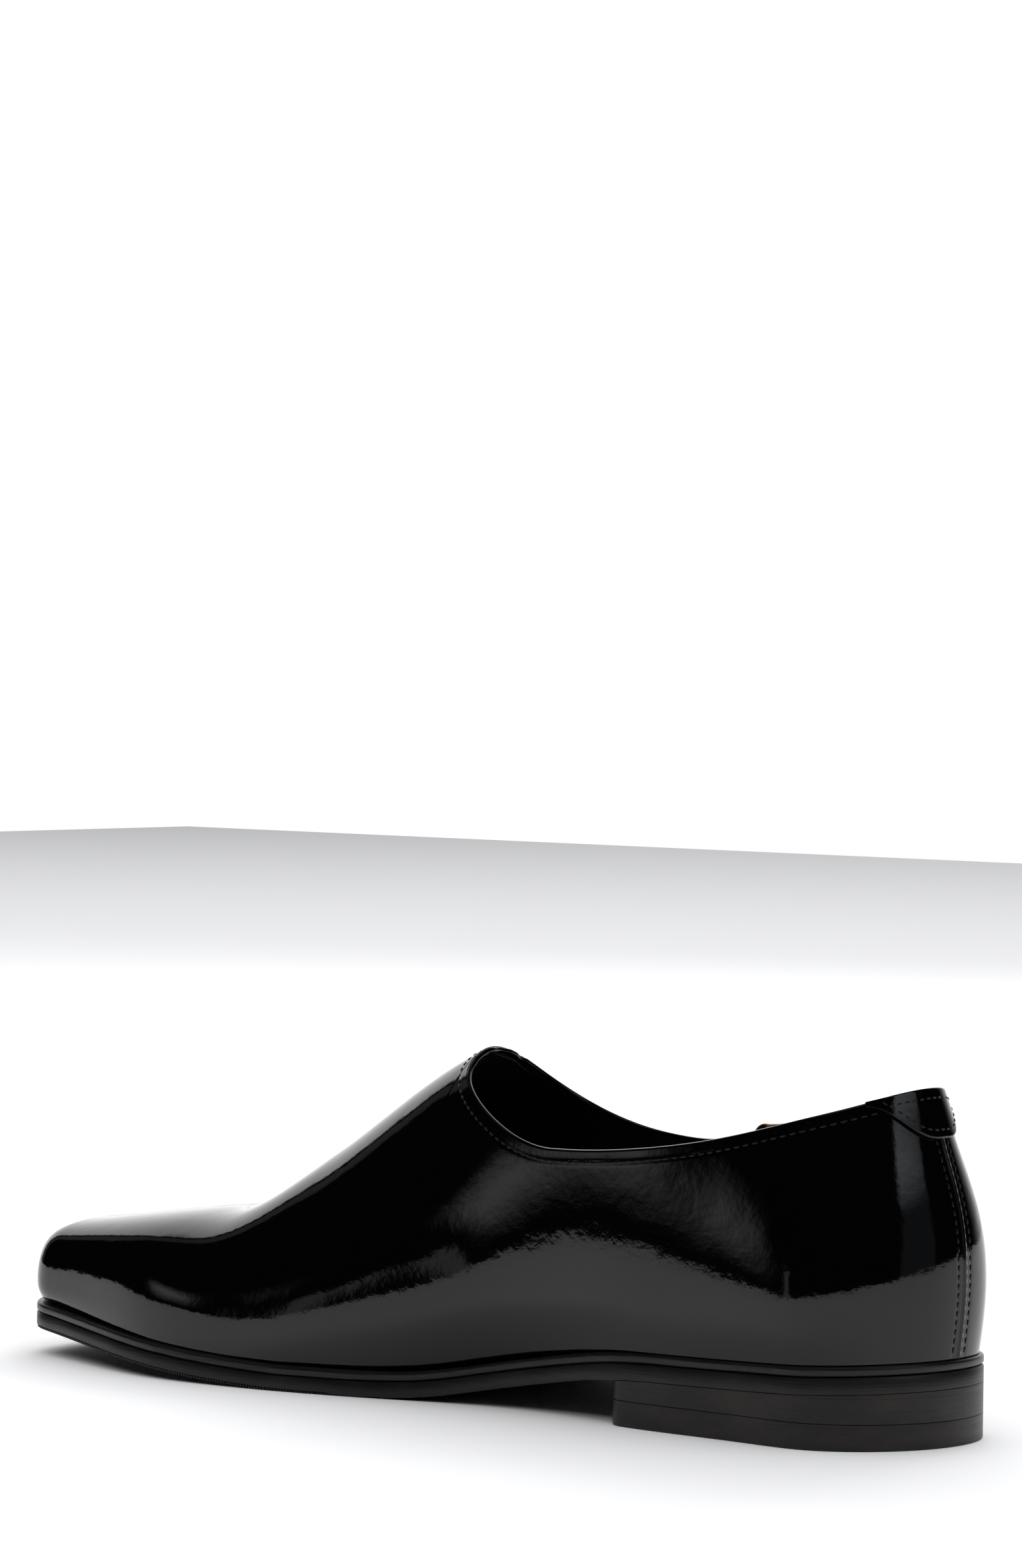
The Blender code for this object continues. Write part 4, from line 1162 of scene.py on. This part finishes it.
strap_finish = patent("strap leather")
tip_end = STRAP_TIP + (BUCKLE_PLACE - STRAP_TIP) / 4
tip_turn = np.linspace(0, np.pi / 2, TIP_COLUMNS)
strap_shares = np.concatenate([
    STRAP_TIP + (tip_end - STRAP_TIP) * (1 - np.cos(tip_turn)),
    np.linspace(tip_end, STRAP_FRONT, STRAP_COLUMNS)[1:],
])
strap_places = 0.5 - 0.5 * np.cos(np.linspace(0, np.pi, STRAP_ROWS))
strap_grid = []
strap_lifts = []
for share in strap_shares:
    top = topline(share, 1) - STRAP["drop"](share) * STRAP_WIDTH
    strap_low = top - STRAP["width"](share) * STRAP_WIDTH
    strap_points = at_lengths(section(share, 1), strap_low, top, strap_places)
    strap_grid.append(strap_points)
    strap_lifts.append(strap_lift(share, strap_points))
strap_grid = np.array(strap_grid)
strap_lifts = np.array(strap_lifts)
strap_lifts = (np.roll(strap_lifts, 1, axis=0) + 2 * strap_lifts + np.roll(strap_lifts, -1, axis=0)) / 4
strap_lifts[0], strap_lifts[-1] = strap_lifts[1], strap_lifts[-2]
verts, faces = overlay(strap_grid, strap_lifts, STRAP_THICKNESS, STRAP_ROUND)
strap_piece = make_piece("strap", verts, faces, (strap_finish,), ("side_strap",), 180)

for number in range(HOLE_COUNT):
    hole_place = buckle_centre + buckle_along * (PRONG_REACH + number * HOLE_PITCH)
    if number:
        snapped, hole_normal = surface_at(hole_place)
    else:
        snapped, hole_normal = hole_place, buckle_out
    cutter_mesh = bpy.data.meshes.new("hole_cutter")
    drill = bmesh.new()
    bmesh.ops.create_cone(drill, cap_ends=True, segments=24, radius1=PRONG_HOLE / 2,
                          radius2=PRONG_HOLE / 2, depth=0.02)
    turn_to = Vector(hole_normal).to_track_quat("Z", "Y").to_matrix().to_4x4()
    drill.transform(Matrix.Translation(Vector(snapped)) @ turn_to)
    drill.to_mesh(cutter_mesh)
    drill.free()
    cutter = add_object("hole_cutter", cutter_mesh)
    cut = strap_piece.modifiers.new("hole", "BOOLEAN")
    cut.operation = "DIFFERENCE"
    cut.object = cutter
    bpy.context.view_layer.update()
    evaluated = strap_piece.evaluated_get(bpy.context.evaluated_depsgraph_get())
    drilled = bpy.data.meshes.new_from_object(evaluated)
    strap_piece.modifiers.remove(cut)
    strap_piece.data = drilled
    bpy.data.objects.remove(cutter)
strap_piece.data.set_sharp_from_angle(angle=math.radians(50))

strap_normals = grid_normals(strap_grid)
strap_outer = strap_grid + strap_normals * (strap_lifts[..., None] + STRAP_THICKNESS)
top_row = inside_edge(strap_outer[:, -1], strap_outer[:, -6], STRAP_ROW)
low_row = inside_edge(strap_outer[:, 0], strap_outer[:, 5], STRAP_ROW)
tip_row = inside_edge(strap_outer[0], strap_outer[4], STRAP_ROW)
front_row = inside_edge(strap_outer[-1], strap_outer[-5], STRAP_ROW)
strap_rows = ((top_row, strap_normals[:, -4], 7, -2), (low_row, strap_normals[:, 3], 7, -2),
              (tip_row, strap_normals[4], 6, -6), (front_row, strap_normals[-4], 4, -4))
sew("strap_stitches", [(row[first:last], facing[first:last]) for row, facing, first, last in strap_rows],
    TOPLINE_PITCH)

# Buckle tab: a short fold of leather sewn to the quarter under the strap, which holds the
# buckle's bar at its front end.
tab_finish = patent("tab leather")
tab_front = BUCKLE_PLACE - (BAR_GAUGE / 2 + TAB_GAP) / SOLE_LENGTH
tab_grid = []
for share in np.linspace(tab_front - TAB_LENGTH / SOLE_LENGTH, tab_front, 24):
    tab_low = strap_middle() - TAB_WIDTH / 2
    tab_high = tab_low + TAB_WIDTH
    tab_grid.append(at_lengths(section(share, 1), tab_low, tab_high, np.linspace(0, 1, 20)))
verts, faces = overlay(np.array(tab_grid), CLEARANCE, TAB_THICKNESS, TAB_ROUND)
make_piece("buckle_fold", verts, faces, (tab_finish,), ("buckle_tab",), 180)

# Buckle: a cast frame of copper-plated alloy, polished, its rails rounded like pebbles, with a
# bar across its middle. The plate shows very fine polishing marks.
RAIL_SIDES = 20
RAIL_POWER = 0.82
BAR_POINTS, ROUND_SIDES = 9, 16
copper_finish = Finish("polished copper plate", (0.83, 0.49, 0.37), 0.20, metallic=1.0)
polish = copper_finish.noise(1.0, 3.0, copper_finish.stretched(900, 900, 5000))
copper_finish.feed("Roughness", 0.14 + polish * 0.14)
dulled = copper_finish.noise(320.0, 3.0)
copper_finish.feed("Base Color", copper_finish.mix(dulled, (0.86, 0.52, 0.40), (0.76, 0.43, 0.31)))
copper_finish.bump(polish, 0.000012)


def rounded_rectangle(length, height, radius, steps, along_rails):
    """Points of a rectangle with round corners, counter-clockwise, some along each rail."""
    points = []
    for quarter in range(4):
        turn = np.pi / 2 * (quarter + np.linspace(0, 1, steps))
        corner_x = (length / 2 - radius) * (1 if quarter in (0, 3) else -1)
        corner_y = (height / 2 - radius) * (1 if quarter in (0, 1) else -1)
        points += list(zip(corner_x + radius * np.cos(turn), corner_y + radius * np.sin(turn)))
        inner_step = np.linspace(0, 1, along_rails + 2)[1:-1, None]
        start = np.array(points[-1])
        if quarter in (0, 2):
            end = np.array([-start[0], start[1]])
        else:
            end = np.array([start[0], -start[1]])
        points += [tuple(point) for point in start + (end - start) * inner_step]
    return np.array(points)


ring_length = BUCKLE_LENGTH - BUCKLE_RAIL
ring_height = BUCKLE_HEIGHT - BUCKLE_RAIL
bar_low = 2 * CLEARANCE
ring_low = bar_low + STRAP_THICKNESS
middle_line = rounded_rectangle(ring_length, ring_height, BUCKLE_CORNER, 13, 14)
heading = headings(middle_line, closed=True)
sideways = np.column_stack([heading[:, 1], -heading[:, 0]])
rail_turn = np.linspace(0, 2 * np.pi, RAIL_SIDES, endpoint=False)
frame_verts = []
for place, side in zip(middle_line, sideways):
    near_bar = np.cos(np.clip(abs(place[0]) / HUMP_REACH, 0, 1) * np.pi / 2) ** 2
    behind = (TAB_THICKNESS + CLEARANCE) * float(smooth(-place[0] / 0.003))
    low = bar_low + (ring_low + behind - bar_low) * (1 - near_bar)
    for angle in rail_turn:
        across_rail = np.sign(np.cos(angle)) * abs(np.cos(angle)) ** RAIL_POWER
        up_rail = np.sign(np.sin(angle)) * abs(np.sin(angle)) ** RAIL_POWER
        wide = place + side * across_rail * BUCKLE_RAIL / 2
        high = low + BUCKLE_GAUGE / 2 * (1 + up_rail)
        frame_verts.append(buckle_centre + buckle_along * wide[0] + buckle_up * wide[1] + buckle_out * high)
frame_faces = ring_faces(len(middle_line), RAIL_SIDES, closed=True)
bar_reach = ring_height / 2 - BUCKLE_RAIL * 0.2
bar_path = np.array([buckle_centre + buckle_up * rise + buckle_out * (bar_low + BAR_GAUGE / 2)
                     for rise in np.linspace(-bar_reach, bar_reach, BAR_POINTS)])
bar_facing = np.tile(buckle_along, (BAR_POINTS, 1))
bar_verts, bar_faces = tube_mesh(bar_path, headings(bar_path), bar_facing, BAR_GAUGE / 2, ROUND_SIDES, False)
frame_faces += [tuple(index + len(frame_verts) for index in face) for face in bar_faces]
make_piece("copper_frame", np.concatenate([frame_verts, bar_verts]), frame_faces, (copper_finish,),
           ("buckle_frame",), 50)

# Prong: a bent pin of the same metal that turns on the bar, comes up through the strap's first
# hole and rests on the frame's front rail.
PRONG_POINTS = 40
prong_radius = PRONG_GAUGE / 2
prong_low = CLEARANCE + prong_radius
prong_high = 2 * CLEARANCE + STRAP_THICKNESS + BUCKLE_GAUGE + CLEARANCE + prong_radius
prong_route = np.array([
    (BAR_GAUGE / 2 + CLEARANCE + prong_radius, prong_low),
    (PRONG_REACH - 1.2 * prong_radius, prong_low),
    (PRONG_REACH - 0.2 * prong_radius, prong_low + PRONG_GAUGE * 0.7),
    (PRONG_REACH + 0.5 * prong_radius, (prong_low + prong_high) / 2),
    (PRONG_REACH + 2.2 * prong_radius, prong_high - PRONG_GAUGE * 0.25),
    (BUCKLE_LENGTH / 2 - BUCKLE_RAIL - PRONG_GAUGE, prong_high),
    (BUCKLE_LENGTH / 2 - 0.0004, prong_high),
])
route_places = np.linspace(0, 1, len(prong_route))
forward_line = spline(route_places, prong_route[:, 0])
rise_line = spline(route_places, prong_route[:, 1])
prong_path = np.array([buckle_centre + buckle_along * forward_line(place) + buckle_out * rise_line(place)
                       for place in np.linspace(0, 1, PRONG_POINTS)])
prong_size = np.full(PRONG_POINTS, prong_radius)
prong_size[-4:] *= (0.97, 0.86, 0.62, 0.2)
prong_size[:3] *= (0.3, 0.8, 0.97)
prong_facing = np.tile(buckle_up, (PRONG_POINTS, 1))
verts, faces = tube_mesh(prong_path, headings(prong_path), prong_facing, prong_size, ROUND_SIDES, False)
make_piece("copper_prong", verts, faces, (copper_finish,), ("buckle_prong",), 60)

# Floor: plain white paper under the shoe.
FLOOR_REACH = 3.0
paper_finish = Finish("white paper", (0.86, 0.86, 0.87), 0.9, specular_ior_level=0.0)
floor_mesh = bpy.data.meshes.new("floor")
corners = [(x * FLOOR_REACH, y * FLOOR_REACH, 0.0) for x, y in ((-1, -1), (1, -1), (1, 1), (-1, 1))]
floor_mesh.from_pydata(corners, [], [(0, 1, 2, 3)])
floor_mesh.materials.append(paper_finish.material)
floor = add_object("floor", floor_mesh)

# Camera: the photograph's place and lens, 1.5 m from the shoe's middle.
TURN, PITCH, ROLL = math.radians(40.47), math.radians(1.58), math.radians(0.70)
FOCAL_PIXELS, IMAGE_HEIGHT, DISTANCE = 8371.5, 2380, 1.5
AIM_RIGHT, AIM_UP, AIM_HEIGHT = -9.65, -640.09, 0.05
back = Vector((math.sin(TURN) * math.cos(PITCH), -math.cos(TURN) * math.cos(PITCH), math.sin(PITCH)))
level_right = Vector((math.cos(TURN), math.sin(TURN), 0))
level_up = back.cross(level_right)
right = level_right * math.cos(ROLL) + level_up * math.sin(ROLL)
up = level_up * math.cos(ROLL) - level_right * math.sin(ROLL)
aim_shift = (right * AIM_RIGHT + up * AIM_UP) * DISTANCE / FOCAL_PIXELS
eye = Vector((0, 0, AIM_HEIGHT)) + back * DISTANCE - aim_shift
camera_data = bpy.data.cameras.new("camera")
camera_data.sensor_width = 36
camera_data.lens = FOCAL_PIXELS / IMAGE_HEIGHT * 36
camera = add_object("camera", camera_data)
camera.matrix_world = Matrix.Translation(eye) @ Matrix((right, up, back)).transposed().to_4x4()
bpy.context.scene.camera = camera

# Light: white cloth behind the shoe and a dark room in front of it, with a few pale cards that the
# patent leather mirrors. One big soft box is above and a small one behind. The camera sees plain
# white beyond the floor.
bpy.context.scene.view_settings.view_transform = "Standard"
world = bpy.data.worlds.new("studio")
world.use_nodes = True
bpy.context.scene.world = world
studio = NodeMaker(world.node_tree)
sky = studio.add("ShaderNodeTexCoord")
away = Vector((-back.x, -back.y, 0)).normalized()
ahead = studio.add("ShaderNodeVectorMath", {"operation": "DOT_PRODUCT"}, {0: sky, 1: away[:]}, 1)
aside = studio.add("ShaderNodeVectorMath", {"operation": "DOT_PRODUCT"}, {0: sky, 1: level_right[:]}, 1)
turned = studio.add("ShaderNodeMath", {"operation": "ARCTAN2"}, {0: aside, 1: ahead}) * math.degrees(1)
raised = studio.add("ShaderNodeMath", {"operation": "ARCSINE"}, {
    0: studio.add("ShaderNodeSeparateXYZ", {}, {"Vector": sky}, 2)}) * math.degrees(1)


def rise_between(value, low, high):
    return studio.add("ShaderNodeMapRange", {"interpolation_type": "SMOOTHSTEP"}, {
        "Value": value, "From Min": low, "From Max": high})


def span(value, low, high, soft):
    """1 between two angles in degrees, 0 outside, with soft edges."""
    return rise_between(value, low - soft, low + soft) * rise_between(value, high + soft, high - soft)


# Each card: where it lies in degrees, then how bright it is.
cloth = rise_between(turned, -38, -35) * rise_between(turned, 62, 20) * rise_between(raised, 54, 44) * 1.4
cloth_edge = span(turned, -49, -40, 1.0) * rise_between(raised, 60, 50) * 0.13
quarter_card = span(turned, -107, -92, 4) * span(raised, 5.5, 13, 4) * 0.85
waist_card = span(turned, -118, -113.5, 1.5) * span(raised, -3, 7, 0.6) * 0.45
heel_card = span(turned, 114, 143, 2.5) * rise_between(raised, 56, 48)
heel_card = heel_card * (rise_between(raised, 24, 38) * 1.3 + 0.12)
ceiling_card = rise_between(raised, 60, 74) * 0.45
level = ceiling_card + cloth + cloth_edge + quarter_card + waist_card + heel_card + 0.002
seen = studio.add("ShaderNodeLightPath")
plain = level * (1 - seen) + seen * 1.02
tint = heel_card * (1 - seen)
colour = studio.add("ShaderNodeCombineColor", {}, {
    "Red": plain - tint * 0.14, "Green": plain - tint * 0.08, "Blue": plain})
background = world.node_tree.nodes["Background"]
background.inputs["Strength"].default_value = 1.0
world.node_tree.links.new(colour.socket, background.inputs["Color"])


def soft_box(name, place, width, height, power):
    """A lamp that faces the shoe and that its leather does not mirror."""
    light = bpy.data.lights.new(name, "AREA")
    light.shape = "RECTANGLE"
    light.size = width
    light.size_y = height
    light.energy = power
    lamp = add_object(name, light)
    lamp.location = place
    lamp.rotation_euler = (-Vector(place)).to_track_quat("-Z", "Y").to_euler()
    lamp.visible_glossy = False


soft_box("overhead", (0, 0, 2.4), 6.0, 6.0, 150)
soft_box("behind", (-0.55, 1.25, 0.95), 1.1, 0.8, 9)
